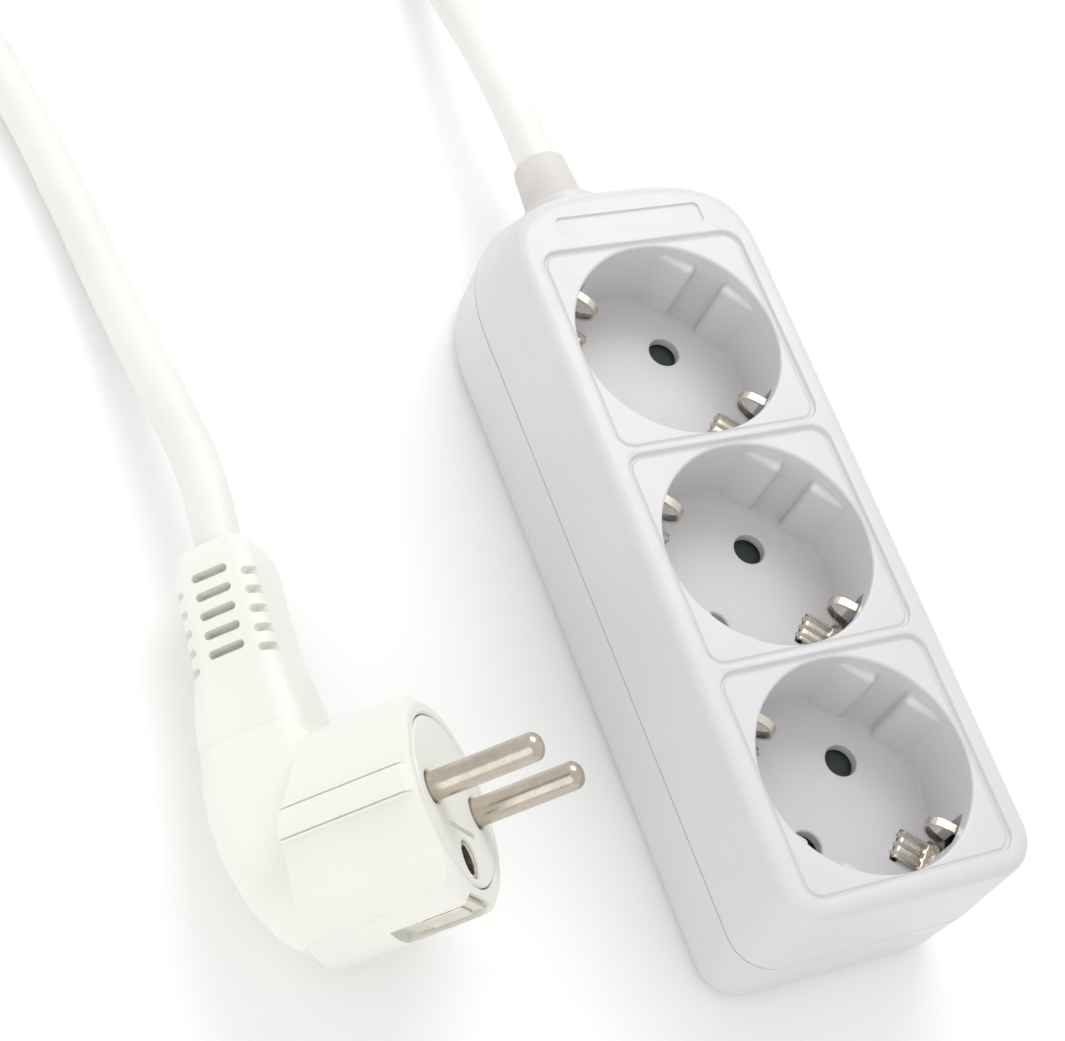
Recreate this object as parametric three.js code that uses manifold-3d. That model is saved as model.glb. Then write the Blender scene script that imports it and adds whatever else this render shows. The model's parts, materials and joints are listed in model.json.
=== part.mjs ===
// A three-way mains power strip for type F plugs, with its lead and right-angle plug.
// Millimetres, +Z up. The strip lies along Y on the plane z = 0 and its lead leaves at +Y.

import * as THREE from 'three';
import { mergeVertices } from 'three/addons/utils/BufferGeometryUtils.js';
import Module from 'manifold-3d';

const wasm = await Module();
wasm.setup();

const DEGREE = Math.PI / 180;
const GAP = 0.3;

// Housing: two shells that meet at the seam, on the axis of the lead.
const HEIGHT = 39.5;
const HALF_WIDTH = 24.9;
const NEAR_END = -81.4;
const FAR_END = 70.4;
const FAR_TOP = 59.9;
const NEAR_CORNER = 7.5;
const FAR_BEND = 44;
const FAR_ROUNDNESS = 0.652;
const BOSS_RADIUS = 8;
const OUTLINE_STEPS = 9;
const TOP_EDGE = 2.2;
const BOTTOM_EDGE = 3.5;
const SEAM = 17.5;
const WALL = 2;
const ROOF = 2.4;
const FLOOR = 2.4;

// Sockets: round recesses in a row, each in its own sunk square panel.
const PITCH = 42.36;
const MIDDLE_SOCKET = -14.6;
const SOCKETS = [1, 0, -1].map((step) => MIDDLE_SOCKET + step * PITCH);
const PANEL_DEPTH = 0.6;
const PANEL_HALF = PITCH / 2 - 0.6;
const PANEL_CORNER = 3;
const RECESS_RADIUS = 19.6;
const RECESS_FLOOR = HEIGHT - 17.5;
const WELL_RADIUS = RECESS_RADIUS + 1.7;
const WELL_FLOOR = 2;
const PIN_REACH = 9.5;
const PIN_HOLE = 2.9;
const PIN_DIAGONAL = 45 * DEGREE;
const EARTH_DIAGONAL = 135 * DEGREE;
const PAD_CHORD = 16.8;
const PAD_INNER = 3;
const PAD_OUTER = 10.1;
const PAD_DROP = 3;

// Shutters turn on a pin under each recess floor.
const SHUTTER_TOP = RECESS_FLOOR - WELL_FLOOR - 0.6;
const SHUTTER_THICKNESS = 2;
const SHUTTER_REACH = 12.9;
const SHUTTER_HALF_ANGLE = 20 * DEGREE;
const PIVOT_RADIUS = 1.5;

// Bars and contacts.
const BAR_BOTTOM = 3.4;
const BAR_TOP = 13.4;
const BAR_INSIDE = 10.2;
const BAR_THICKNESS = 0.8;
const BAR_END = 44;
const CONTACT_GAP = 2.1;
const CONTACT_OFFSET = PIN_REACH * Math.SQRT1_2;
const EARTH_BOTTOM = 14.3;
const EARTH_TOP = 14.9;

// Earth clips: one bent strip, as [distance from the socket's axis, height]. From its foot on the
// earth bar it rises through the floor, runs out to the wall, and bulges back in as a spring.
const CLIP_WIDTH = 5.6;
const CLIP_THICKNESS = 0.6;
const CLIP_HEAD_WIDTH = 1.6;
const CLIP_HEAD_START = 26.5;
const CLIP_FOOT = EARTH_TOP + 0.6;
const CLIP_HINGE = 16.9;
const CLIP_LINE = [
  [CLIP_HINGE + 0.4, CLIP_FOOT], [14.3, CLIP_FOOT], [14, CLIP_FOOT + 0.5], [14, 21.9],
  [14.6, 22.7], [19.3, 22.7], [20.3, 23.4], [20.6, 27.6], [19.9, 29], [16.4, 30.1], [15, 31.6],
  [15, 33.2], [16.4, 34.6], [19.6, 34.9], [20.4, 34.5],
];
const SLOT_HALF = 3.3;
const SLOT_TOP = 35.6;

// Screws.
const POST_RADIUS = 3;
const POST_BOTTOM = 7;
const PILOT_RADIUS = 1.5;
const SHANK_RADIUS = 1.2;
const HOUSING_SCREWS = [-74.3, MIDDLE_SOCKET - PITCH / 2, 51.4].flatMap((y) => {
  const x = y > 0 ? 17 : 18.2;
  return [[x, y], [-x, y]];
});

// Lead: 8.2 mm round sheath, 1.4 m in all, with the unused length in a coil.
const CORD_RADIUS = 4.1;
const GLAND_TIP = 81.4;
const TAIL_START = 53;
const CLAMP_NEAR = 55.5;
const CLAMP_FAR = 60.5;
const CLAMP_SCREW_X = 8;
const COIL_CENTRE = [-44.7, 207];
const COIL_RADIUS = 48.5;
const COIL_STEP = 4.2;
const COIL_HEIGHT = 16.6;
const OUTER_RUN = COIL_RADIUS + 13;
const STRIP_LEAD = [
  [0, GLAND_TIP + GAP, SEAM], [0, 97, 17.2], [0.1, 112, 15.2], [0.5, 128, 11.3], [1.5, 145, 7],
  [3.2, 162, 4.6], [5.2, 179, 4.1], [6.9, 193.5, 4.1], [8, 207, 4.1],
];
const PLUG_LEAD = [
  [-105.8, 193, 4.1], [-104.1, 176.5, 4.1], [-100.8, 159.5, 4.1], [-96.7, 142, 4.1],
  [-92.9, 125, 4.1], [-90, 109, 4.1], [-88, 93, 4.1], [-86.6, 77, 4.7], [-85.5, 61, 6.7],
  [-84.6, 46, 9.4], [-84, 31, 11.6],
];

// Plug: its own frame has the face at z = 0, the pins along +Z and the lead along +Y.
const PLUG_TILT = 50 * DEGREE;
const PLUG_YAW = -5 * DEGREE;
const PLUG_FACE = [-68.5, -44.5, 30.5];
const PLUG_RADIUS = 18.5;
const PLUG_DISC = 20;
const PLUG_BACK_HALF = 15;
const GRIP_ANGLE = 27.6 * DEGREE;
const GRIP_FLAT = 16.44;
const GRIP_SPAN = 5.9;
const PLUG_AXIS = -28.5;
const CARRIER_RADIUS = 14.5;
const CARRIER_DEPTH = 8;
const PIN_RADIUS = 2.4;
const PIN_LENGTH = 19;
const BOOT_START = 20.6;
const BOOT_END = 57;
const BOOT_SLOTS = 5;
const BOOT_SLOT_START = 35.2;
const BOOT_SLOT_PITCH = 3.57;
const BOOT_HALF = 9.5;
const BOOT_END_HALF = 7.5;

const FINISHES = {
  shell: { color: 0xe9e7e8, roughness: 0.35, metalness: 0 },
  shutter: { color: 0x2c3430, roughness: 0.5, metalness: 0 },
  brass: { color: 0xb9984f, roughness: 0.35, metalness: 1 },
  nickel: { color: 0xc9c2b2, roughness: 0.25, metalness: 1 },
  steel: { color: 0xa9abac, roughness: 0.35, metalness: 1 },
  sheath: { color: 0xf2f1ec, roughness: 0.45, metalness: 0 },
  gland: { color: 0xc9bdb3, roughness: 0.55, metalness: 0 },
  plug: { color: 0xf4f3e8, roughness: 0.4, metalness: 0 },
  live: { color: 0x6b3a1e, roughness: 0.5, metalness: 0 },
  neutral: { color: 0x2a5ca8, roughness: 0.5, metalness: 0 },
  earth: { color: 0x7fae2e, roughness: 0.5, metalness: 0 },
  tie: { color: 0x222325, roughness: 0.7, metalness: 0 },
};
const materials = {};
for (const [name, finish] of Object.entries(FINISHES)) {
  materials[name] = new THREE.MeshStandardMaterial(finish);
}

// ---------- solids ----------

// Turns a closed three.js geometry into a solid that can be joined and cut.
function toSolid(geometry) {
  geometry.deleteAttribute('normal');
  geometry.deleteAttribute('uv');
  const merged = mergeVertices(geometry, 1e-4);
  const index = merged.index.array;
  const corners = [];
  for (let i = 0; i < index.length; i += 3) {
    const [a, b, c] = [index[i], index[i + 1], index[i + 2]];
    if (a !== b && b !== c && c !== a) {
      corners.push(a, b, c);
    }
  }
  return new wasm.Manifold(new wasm.Mesh({
    numProp: 3,
    vertProperties: merged.attributes.position.array,
    triVerts: new Uint32Array(corners),
  }));
}

function part(name, solid, material) {
  const { vertProperties, triVerts } = solid.getMesh();
  const geometry = new THREE.BufferGeometry();
  geometry.setAttribute('position', new THREE.BufferAttribute(vertProperties, 3));
  geometry.setIndex(new THREE.BufferAttribute(triVerts, 1));
  geometry.computeVertexNormals();
  const mesh = new THREE.Mesh(geometry, material);
  mesh.name = name;
  return mesh;
}

function ordered(a, b) {
  return a < b ? [a, b] : [b, a];
}

function joined(solids) {
  return solids.reduce((whole, solid) => whole.add(solid));
}

function boxGeometry(x0, x1, y0, y1, z0, z1) {
  const geometry = new THREE.BoxGeometry(x1 - x0, y1 - y0, z1 - z0);
  geometry.translate((x0 + x1) / 2, (y0 + y1) / 2, (z0 + z1) / 2);
  return geometry;
}

function box(...sides) {
  return toSolid(boxGeometry(...sides));
}

// A box given as if the socket's diagonal were +X, then turned onto it and moved to the socket.
function diagonalBox(angle, y, ...sides) {
  const geometry = boxGeometry(...sides);
  geometry.rotateZ(angle);
  geometry.translate(0, y, 0);
  return toSolid(geometry);
}

function post(radius, x, y, z0, z1, sides = 14) {
  const geometry = new THREE.CylinderGeometry(radius, radius, z1 - z0, sides);
  geometry.rotateX(Math.PI / 2);
  geometry.translate(x, y, (z0 + z1) / 2);
  return toSolid(geometry);
}

function rodAlongY(radius, x, z, y0, y1, sides = 20) {
  const geometry = new THREE.CylinderGeometry(radius, radius, y1 - y0, sides);
  geometry.translate(x, (y0 + y1) / 2, z);
  return toSolid(geometry);
}

function prism(shape, z0, z1, curveSegments = 6) {
  const geometry = new THREE.ExtrudeGeometry(shape, {
    depth: z1 - z0, bevelEnabled: false, curveSegments,
  });
  geometry.translate(0, 0, z0);
  return toSolid(geometry);
}

// Extrudes a shape drawn in the (y, z) plane along X.
function sidePrism(shape, x0, x1, bevel = 0) {
  const geometry = new THREE.ExtrudeGeometry(shape, {
    depth: x1 - x0 - 2 * bevel, curveSegments: 6, bevelEnabled: bevel > 0,
    bevelSize: bevel, bevelThickness: bevel, bevelSegments: 2, bevelOffset: -bevel,
  });
  geometry.translate(0, 0, x0 + bevel);
  geometry.applyMatrix4(new THREE.Matrix4().makeBasis(
    new THREE.Vector3(0, 1, 0), new THREE.Vector3(0, 0, 1), new THREE.Vector3(1, 0, 0)));
  return toSolid(geometry);
}

// Turns a closed profile of [radius, height] points about an upright axis.
function turned(profile, sides) {
  const points = profile.map(([radius, height]) => new THREE.Vector2(radius, height));
  const geometry = new THREE.LatheGeometry(points, sides);
  return geometry;
}

function circle(radius) {
  const shape = new THREE.Shape();
  shape.absarc(0, 0, radius, 0, 2 * Math.PI);
  return shape;
}

function tube(points, radius, sides, steps) {
  const path = new THREE.CatmullRomCurve3(points.map((point) => new THREE.Vector3(...point)));
  const geometry = new THREE.ExtrudeGeometry(circle(radius), {
    steps, curveSegments: sides / 2, extrudePath: path,
  });
  return toSolid(geometry);
}

function roundedRectangle(x0, x1, y0, y1, corner) {
  const shape = new THREE.Shape();
  shape.absarc(x1 - corner, y0 + corner, corner, -Math.PI / 2, 0);
  shape.absarc(x1 - corner, y1 - corner, corner, 0, Math.PI / 2);
  shape.absarc(x0 + corner, y1 - corner, corner, Math.PI / 2, Math.PI);
  shape.absarc(x0 + corner, y0 + corner, corner, Math.PI, 1.5 * Math.PI);
  return shape;
}

// ---------- housing ----------

// The housing seen from above: rounded near corners, and a far end that bends round in one curve.
function outline(inset) {
  const side = HALF_WIDTH - inset;
  const near = NEAR_END + inset;
  const far = FAR_END - inset;
  const nearCorner = NEAR_CORNER - inset;
  const pull = FAR_BEND + FAR_ROUNDNESS * (far - FAR_BEND);
  const shape = new THREE.Shape();
  shape.absarc(side - nearCorner, near + nearCorner, nearCorner, -Math.PI / 2, 0);
  shape.lineTo(side, FAR_BEND);
  shape.bezierCurveTo(side, pull, side * FAR_ROUNDNESS, far, 0, far);
  shape.bezierCurveTo(-side * FAR_ROUNDNESS, far, -side, pull, -side, FAR_BEND);
  shape.absarc(nearCorner - side, near + nearCorner, nearCorner, Math.PI, 1.5 * Math.PI);
  return shape;
}

function outlinePrism(inset, z0, z1) {
  return prism(outline(inset), z0, z1, OUTLINE_STEPS);
}

// The whole housing as one block with its top and bottom rims rounded off.
function roundedBlock(edge) {
  const geometry = new THREE.ExtrudeGeometry(outline(edge), {
    depth: HEIGHT - 2 * edge, curveSegments: OUTLINE_STEPS,
    bevelSize: edge, bevelThickness: edge, bevelSegments: 2,
  });
  geometry.translate(0, 0, edge);
  return toSolid(geometry);
}

// Everything behind the far end wall, which leans back above the seam.
function behindFarEnd(inset) {
  const far = FAR_END - inset;
  const top = HEIGHT - inset;
  const shape = new THREE.Shape();
  shape.moveTo(NEAR_END - 1, -1);
  shape.lineTo(far, -1);
  shape.lineTo(far, SEAM);
  shape.quadraticCurveTo(far - 1, SEAM + 7, FAR_TOP - inset, top);
  shape.lineTo(FAR_TOP - inset, HEIGHT + 1);
  shape.lineTo(NEAR_END - 1, HEIGHT + 1);
  return sidePrism(shape, -HALF_WIDTH - 1, HALF_WIDTH + 1);
}

// A round boss that gives the gland's collar a flat seat on the curved end wall.
function collarBoss() {
  return rodAlongY(BOSS_RADIUS, 0, SEAM, FAR_END - 12, FAR_END, 28);
}

function slab(z0, z1) {
  return box(-40, 40, NEAR_END - 5, FAR_END + 5, z0, z1);
}

function glandHole() {
  return rodAlongY(5, 0, SEAM, FAR_END - 6, FAR_END + 5, 24);
}

function guidePads(y) {
  const pads = [];
  for (const angle of [PIN_DIAGONAL, PIN_DIAGONAL + Math.PI]) {
    for (const [v0, v1] of [[PAD_INNER, PAD_OUTER], [-PAD_OUTER, -PAD_INNER]]) {
      pads.push(diagonalBox(angle, y, PAD_CHORD, 21, v0, v1, RECESS_FLOOR - 1, HEIGHT - PAD_DROP));
    }
  }
  return joined(pads).intersect(post(RECESS_RADIUS + 0.5, 0, y, 0, HEIGHT, 48));
}

function makeTopCover() {
  const block = roundedBlock(TOP_EDGE).intersect(behindFarEnd(0)).add(collarBoss());
  const cavity = outlinePrism(WALL, 0, HEIGHT - ROOF).intersect(behindFarEnd(ROOF));
  let cover = block.subtract(cavity).intersect(slab(SEAM + GAP / 2, HEIGHT + 1));
  for (const y of SOCKETS) {
    cover = cover.add(post(WELL_RADIUS, 0, y, RECESS_FLOOR - WELL_FLOOR, HEIGHT - 1, 40));
  }
  for (const [x, y] of HOUSING_SCREWS) {
    cover = cover.add(post(POST_RADIUS, x, y, POST_BOTTOM, HEIGHT - 1));
    cover = cover.subtract(post(PILOT_RADIUS, x, y, POST_BOTTOM - 1, 20, 12));
  }
  for (const y of SOCKETS) {
    const panel = roundedRectangle(-PANEL_HALF, PANEL_HALF, y - PANEL_HALF, y + PANEL_HALF, PANEL_CORNER);
    cover = cover.subtract(prism(panel, HEIGHT - PANEL_DEPTH, HEIGHT + 1, 3));
    cover = cover.subtract(post(RECESS_RADIUS, 0, y, RECESS_FLOOR, HEIGHT + 1, 40));
    cover = cover.add(guidePads(y));
    cover = cover.add(post(PIVOT_RADIUS, 0, y, EARTH_TOP + GAP, RECESS_FLOOR - 1, 12));
    for (const side of [1, -1]) {
      const reach = side * CONTACT_OFFSET;
      cover = cover.subtract(post(PIN_HOLE, reach, y + reach, SHUTTER_TOP, RECESS_FLOOR + 1));
      const angle = side > 0 ? EARTH_DIAGONAL : EARTH_DIAGONAL + Math.PI;
      const floorSlot = [13.3, 15.4, -SLOT_HALF, SLOT_HALF, SHUTTER_TOP, RECESS_FLOOR + 1];
      const wallSlot = [18.9, WELL_RADIUS + 1.5, -SLOT_HALF, SLOT_HALF, RECESS_FLOOR, SLOT_TOP];
      cover = cover.subtract(diagonalBox(angle, y, ...floorSlot));
      cover = cover.subtract(diagonalBox(angle, y, ...wallSlot));
    }
  }
  const label = roundedRectangle(-15, 15, 50.6, 55.2, 1);
  return cover.subtract(glandHole()).subtract(prism(label, HEIGHT - PANEL_DEPTH, HEIGHT + 1, 2));
}

// A saddle with a trough for the lead, drilled for the two clamp screws.
function clampSaddle() {
  const trough = box(-4.4, 4.4, CLAMP_NEAR - 1, CLAMP_FAR + 1, SEAM, SEAM + 6);
  const seat = rodAlongY(CORD_RADIUS + GAP, 0, SEAM, CLAMP_NEAR - 1, CLAMP_FAR + 1);
  let saddle = box(-11, 11, CLAMP_NEAR, CLAMP_FAR, FLOOR - 1, SEAM + 4).subtract(trough).subtract(seat);
  for (const x of [-CLAMP_SCREW_X, CLAMP_SCREW_X]) {
    saddle = saddle.subtract(post(PILOT_RADIUS, x, (CLAMP_NEAR + CLAMP_FAR) / 2, 11, 30, 12));
  }
  return saddle;
}

function makeBottomShell() {
  const top = SEAM - GAP / 2;
  const block = roundedBlock(BOTTOM_EDGE).add(collarBoss());
  let shell = block.subtract(outlinePrism(WALL, FLOOR, HEIGHT)).intersect(slab(-1, top));
  const lipOutside = outlinePrism(WALL + GAP, top - 1, SEAM + 2).intersect(behindFarEnd(ROOF + GAP));
  const lipRoot = outlinePrism(WALL - 0.5, top - 2.4, top);
  shell = shell.add(lipOutside.add(lipRoot).subtract(outlinePrism(WALL + 1.3, 0, HEIGHT)));
  for (const [x, y] of HOUSING_SCREWS) {
    shell = shell.add(post(4, x, y, 1, POST_BOTTOM - GAP));
    shell = shell.subtract(post(PILOT_RADIUS, x, y, -1, POST_BOTTOM, 12));
    shell = shell.subtract(post(3.3, x, y, -1, 4));
  }
  for (const y of [MIDDLE_SOCKET - PITCH / 2, MIDDLE_SOCKET + PITCH / 2, BAR_END - 1.5]) {
    shell = shell.add(box(-11.8, 11.8, y - 1, y + 1, FLOOR - 1, BAR_BOTTOM - GAP));
    shell = shell.add(box(-1.2, 1.2, y - 1, y + 1, FLOOR - 1, EARTH_BOTTOM - GAP));
  }
  const label = roundedRectangle(-16, 16, MIDDLE_SOCKET - 11, MIDDLE_SOCKET + 11, 2);
  return shell.add(clampSaddle()).subtract(glandHole()).subtract(prism(label, -1, 0.4, 2));
}

function makeHousingScrew(name, x, y) {
  const screw = post(2.8, x, y, 1.9, 3.7).add(post(SHANK_RADIUS, x, y, 3, 17, 10));
  return part(name, screw, materials.steel);
}

// ---------- bars, contacts, clips and shutters ----------

// A flat bar on edge, with a pair of leaves beside each pin. side is +1 for live, -1 for neutral.
function makePoleBar(side) {
  const ySpan = [Math.min(...SOCKETS) + side * CONTACT_OFFSET - 3, BAR_END];
  const across = (near, far) => ordered(near * side, far * side);
  const spine = across(BAR_INSIDE, BAR_INSIDE + BAR_THICKNESS);
  let bar = box(...spine, ...ySpan, BAR_BOTTOM, BAR_TOP);
  for (const socket of SOCKETS) {
    const y = socket + side * CONTACT_OFFSET;
    for (const leaf of [CONTACT_GAP, -CONTACT_GAP - 0.7]) {
      bar = bar.add(box(...across(3.6, BAR_INSIDE + 0.1), y + leaf, y + leaf + 0.7, BAR_BOTTOM, BAR_TOP));
    }
  }
  return bar;
}

function makeEarthBar() {
  let bar = box(-2, 2, Math.min(...SOCKETS) - 3, BAR_END + 2, EARTH_BOTTOM, EARTH_TOP);
  for (const y of SOCKETS) {
    bar = bar.add(diagonalBox(EARTH_DIAGONAL, y, -18.4, 18.4, -2.6, 2.6, EARTH_BOTTOM, EARTH_TOP));
  }
  return bar;
}

// Thickens an open line of points into a closed outline.
function stripShape(line, thickness) {
  const left = [];
  const right = [];
  line.forEach(([x, y], i) => {
    const [x0, y0] = line[Math.max(i - 1, 0)];
    const [x1, y1] = line[Math.min(i + 1, line.length - 1)];
    const length = Math.hypot(x1 - x0, y1 - y0);
    const normal = [-(y1 - y0) / length, (x1 - x0) / length];
    left.push(new THREE.Vector2(x + (normal[0] * thickness) / 2, y + (normal[1] * thickness) / 2));
    right.unshift(new THREE.Vector2(x - (normal[0] * thickness) / 2, y - (normal[1] * thickness) / 2));
  });
  return new THREE.Shape(left.concat(right));
}

function makeEarthClip(name, y, angle) {
  const geometry = new THREE.ExtrudeGeometry(stripShape(CLIP_LINE, CLIP_THICKNESS), {
    depth: CLIP_WIDTH, bevelEnabled: false,
  });
  geometry.translate(0, 0, -CLIP_WIDTH / 2);
  geometry.rotateX(Math.PI / 2);
  geometry.rotateZ(angle);
  geometry.translate(0, y, 0);
  let clip = toSolid(geometry);
  for (const side of [1, -1]) {
    const span = ordered(side * CLIP_HEAD_WIDTH / 2, side * CLIP_WIDTH);
    const beside = boxGeometry(12, 23, ...span, CLIP_HEAD_START, HEIGHT);
    beside.rotateZ(angle);
    beside.translate(0, y, 0);
    clip = clip.subtract(toSolid(beside));
  }
  return part(name, clip, materials.nickel);
}

function makeShutter(name, y) {
  const wings = new THREE.Shape();
  for (const middle of [PIN_DIAGONAL, PIN_DIAGONAL + Math.PI]) {
    const from = middle - SHUTTER_HALF_ANGLE;
    const to = middle + SHUTTER_HALF_ANGLE;
    wings.absarc(0, 0, SHUTTER_REACH, from, to);
    wings.absarc(0, 0, 4.2, to, middle + Math.PI - SHUTTER_HALF_ANGLE);
  }
  const bore = new THREE.Path();
  bore.absarc(0, 0, PIVOT_RADIUS + GAP, 0, 2 * Math.PI, true);
  wings.holes.push(bore);
  const shutter = part(name, prism(wings, 0, SHUTTER_THICKNESS), materials.shutter);
  shutter.position.set(0, y, SHUTTER_TOP - SHUTTER_THICKNESS);
  return shutter;
}

function makeShutterSpring(name, y) {
  const points = [];
  const turns = 2.25;
  for (let i = 0; i <= 12 * turns; i += 1) {
    const angle = (i / 12) * 2 * Math.PI;
    points.push([2.9 * Math.cos(angle), 2.9 * Math.sin(angle), 0.05 * i]);
  }
  const spring = part(name, tube(points, 0.22, 6, 24), materials.steel);
  spring.position.set(0, y, EARTH_TOP + 0.6);
  return spring;
}

// ---------- lead inside the housing ----------

function makeGland() {
  const flange = FAR_END - ROOF - 2.9;
  const profile = [
    [CORD_RADIUS + GAP, flange - 1.5], [6.6, flange - 1.5], [6.6, flange], [4.7, flange],
    [4.7, FAR_END + GAP], [6.6, FAR_END + GAP], [6.6, FAR_END + 1.6], [5.8, FAR_END + 2.2],
    [5.2, GLAND_TIP], [CORD_RADIUS + GAP, GLAND_TIP], [CORD_RADIUS + GAP, flange - 1.5],
  ];
  const geometry = turned(profile, 24);
  geometry.translate(0, 0, SEAM);
  return toSolid(geometry);
}

function makeClamp() {
  let bar = box(-11, 11, CLAMP_NEAR, CLAMP_FAR, SEAM + 4.4, SEAM + 6.9);
  for (const x of [-CLAMP_SCREW_X, CLAMP_SCREW_X]) {
    bar = bar.subtract(post(PILOT_RADIUS, x, (CLAMP_NEAR + CLAMP_FAR) / 2, 0, 30, 12));
  }
  return bar;
}

function makeClampScrew(name, x) {
  const y = (CLAMP_NEAR + CLAMP_FAR) / 2;
  const head = SEAM + 6.9 + GAP;
  return part(name, post(2.3, x, y, head, head + 1.6).add(post(SHANK_RADIUS, x, y, 12, head + 1, 10)),
    materials.steel);
}

const INSIDE_WIRES = {
  live_wire: ['live', [1.9, TAIL_START - GAP, 18.2], [2.1, 51.8, 18.1], [3.8, 50.4, 17.2], [8.6, 47.6, 13.5],
    [10.6, 46.4, 9.6], [10.6, 45.4, 9], [10.6, BAR_END + GAP, 9]],
  neutral_wire: ['neutral', [-1.9, TAIL_START - GAP, 18.2], [-2.1, 51.8, 18.1], [-3.8, 50.4, 17.2], [-8.6, 47.6, 13.5],
    [-10.6, 46.4, 9.6], [-10.6, 45.4, 9], [-10.6, BAR_END + GAP, 9]],
  earth_wire: ['earth', [0, TAIL_START - GAP, 15.4], [0, 50, 14.9],
    [0, 48, 14.6], [0, BAR_END + 2 + GAP, 14.6]],
};

// ---------- free lead ----------

const COIL_INSIDE = COIL_RADIUS - COIL_STEP - CORD_RADIUS;
const COIL_OUTSIDE = COIL_RADIUS + COIL_STEP + CORD_RADIUS;

function coilRing() {
  const round = 3;
  const geometry = turned([
    [COIL_INSIDE, round], [COIL_INSIDE + round, 0], [COIL_OUTSIDE - round, 0],
    [COIL_OUTSIDE, round], [COIL_OUTSIDE, COIL_HEIGHT - round],
    [COIL_OUTSIDE - round, COIL_HEIGHT], [COIL_INSIDE + round, COIL_HEIGHT],
    [COIL_INSIDE, COIL_HEIGHT - round], [COIL_INSIDE, round],
  ], 48);
  geometry.rotateX(Math.PI / 2);
  geometry.translate(...COIL_CENTRE, 0);
  return toSolid(geometry);
}

const TIE_ANGLE = 250 * DEGREE;

function tieBlock(thickness, width, bottom) {
  const geometry = boxGeometry(COIL_INSIDE - thickness, COIL_OUTSIDE + thickness,
    -width / 2, width / 2, bottom, COIL_HEIGHT + thickness);
  geometry.rotateZ(TIE_ANGLE);
  geometry.translate(...COIL_CENTRE, 0);
  return toSolid(geometry);
}

function makeTie() {
  return tieBlock(1.3, 9, 0).subtract(tieBlock(GAP, 12, 1));
}

function makeCoil() {
  return coilRing().subtract(tieBlock(3, 9.6, -1).subtract(tieBlock(0, 12, 1 + GAP)));
}

function outerRunPoint(degrees) {
  const [x, y] = COIL_CENTRE;
  const angle = degrees * DEGREE;
  return [x + OUTER_RUN * Math.cos(angle), y + OUTER_RUN * Math.sin(angle), CORD_RADIUS];
}

// ---------- plug ----------

const plugFrame = new THREE.Group();
plugFrame.rotation.set(0, PLUG_TILT, PLUG_YAW, 'ZYX');
plugFrame.position.set(...PLUG_FACE);
plugFrame.updateMatrixWorld();

function onPlug(x, y, z) {
  return new THREE.Vector3(x, y, z).applyMatrix4(plugFrame.matrixWorld).toArray();
}

// What lies below the surface that the plug rests on, in the plug's own frame.
function belowRest() {
  const geometry = boxGeometry(-80, 80, -80, 80, -80, -PLUG_FACE[2]);
  geometry.rotateY(-PLUG_TILT);
  return toSolid(geometry);
}

// Four flats on the plug's rim that leave a narrow rib down each side of it.
function gripFlats() {
  const flats = [];
  for (const half of [0, Math.PI]) {
    for (const side of [1, -1]) {
      const span = ordered(-GRIP_SPAN * side, 10 * side);
      const flat = boxGeometry(GRIP_FLAT, PLUG_RADIUS + 4, ...span, -PLUG_DISC - 1, 1);
      flat.rotateZ(half + side * GRIP_ANGLE);
      flats.push(toSolid(flat));
    }
  }
  return joined(flats);
}

function makePlugBody() {
  const disc = turned([[0, -PLUG_DISC], [PLUG_RADIUS, -PLUG_DISC], [PLUG_RADIUS, -2],
    [PLUG_RADIUS - 2, 0], [0, 0]], 40);
  disc.rotateX(Math.PI / 2);
  const back = new THREE.Shape();
  back.moveTo(-18, -14);
  back.quadraticCurveTo(-17, -30, -6, -37.6);
  back.quadraticCurveTo(6, -41, BOOT_START - GAP, -38.2);
  back.lineTo(BOOT_START - GAP, -18.6);
  back.lineTo(12, -14);
  let body = toSolid(disc).subtract(gripFlats()).add(sidePrism(back, -PLUG_BACK_HALF, PLUG_BACK_HALF, 4));
  for (const side of [1, -1]) {
    body = body.subtract(box(-4.3, 4.3, ...ordered(16.2 * side, 20 * side), -13, 1));
  }
  body = body.subtract(post(CARRIER_RADIUS + GAP, 0, 0, -CARRIER_DEPTH - GAP, 1, 32));
  body = body.subtract(box(-4.3, 4.3, -18, 18, -13, -CARRIER_DEPTH));
  body = body.subtract(box(-11.8, 11.8, -4, 7, -27, -CARRIER_DEPTH));
  body = body.subtract(box(-4.6, 4.6, 0, BOOT_START + 1, -33, -22));
  return body.subtract(belowRest());
}

function makeCarrier() {
  let carrier = post(CARRIER_RADIUS, 0, 0, -CARRIER_DEPTH, 0, 32);
  for (const x of [-PIN_REACH, PIN_REACH]) {
    carrier = carrier.subtract(post(PIN_RADIUS + GAP, x, 0, -20, 5));
  }
  return carrier.subtract(post(3.3, 0, -10, -20, 5));
}

function makePin(name, x) {
  const tip = PIN_RADIUS;
  const geometry = turned([[0, -CARRIER_DEPTH], [tip, -CARRIER_DEPTH], [tip, PIN_LENGTH - tip],
    [tip * Math.cos(30 * DEGREE), PIN_LENGTH - tip / 2], [tip / 2, PIN_LENGTH - tip * 0.134],
    [0, PIN_LENGTH]], 16);
  geometry.rotateX(Math.PI / 2);
  geometry.translate(x, 0, 0);
  return part(name, toSolid(geometry), materials.nickel);
}

function makeEarthFrame() {
  return box(-3.2, 3.2, -17.4, 17.4, -12.4, -11.6)
    .add(box(-3.6, 3.6, 16.6, 17.4, -12.4, -0.8))
    .add(box(-3.6, 3.6, -17.4, -16.6, -12.4, -0.8));
}

function makeEarthSleeve() {
  return post(3, 0, -10, -11.3, -0.4).subtract(post(2.4, 0, -10, -9, 1));
}

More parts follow.
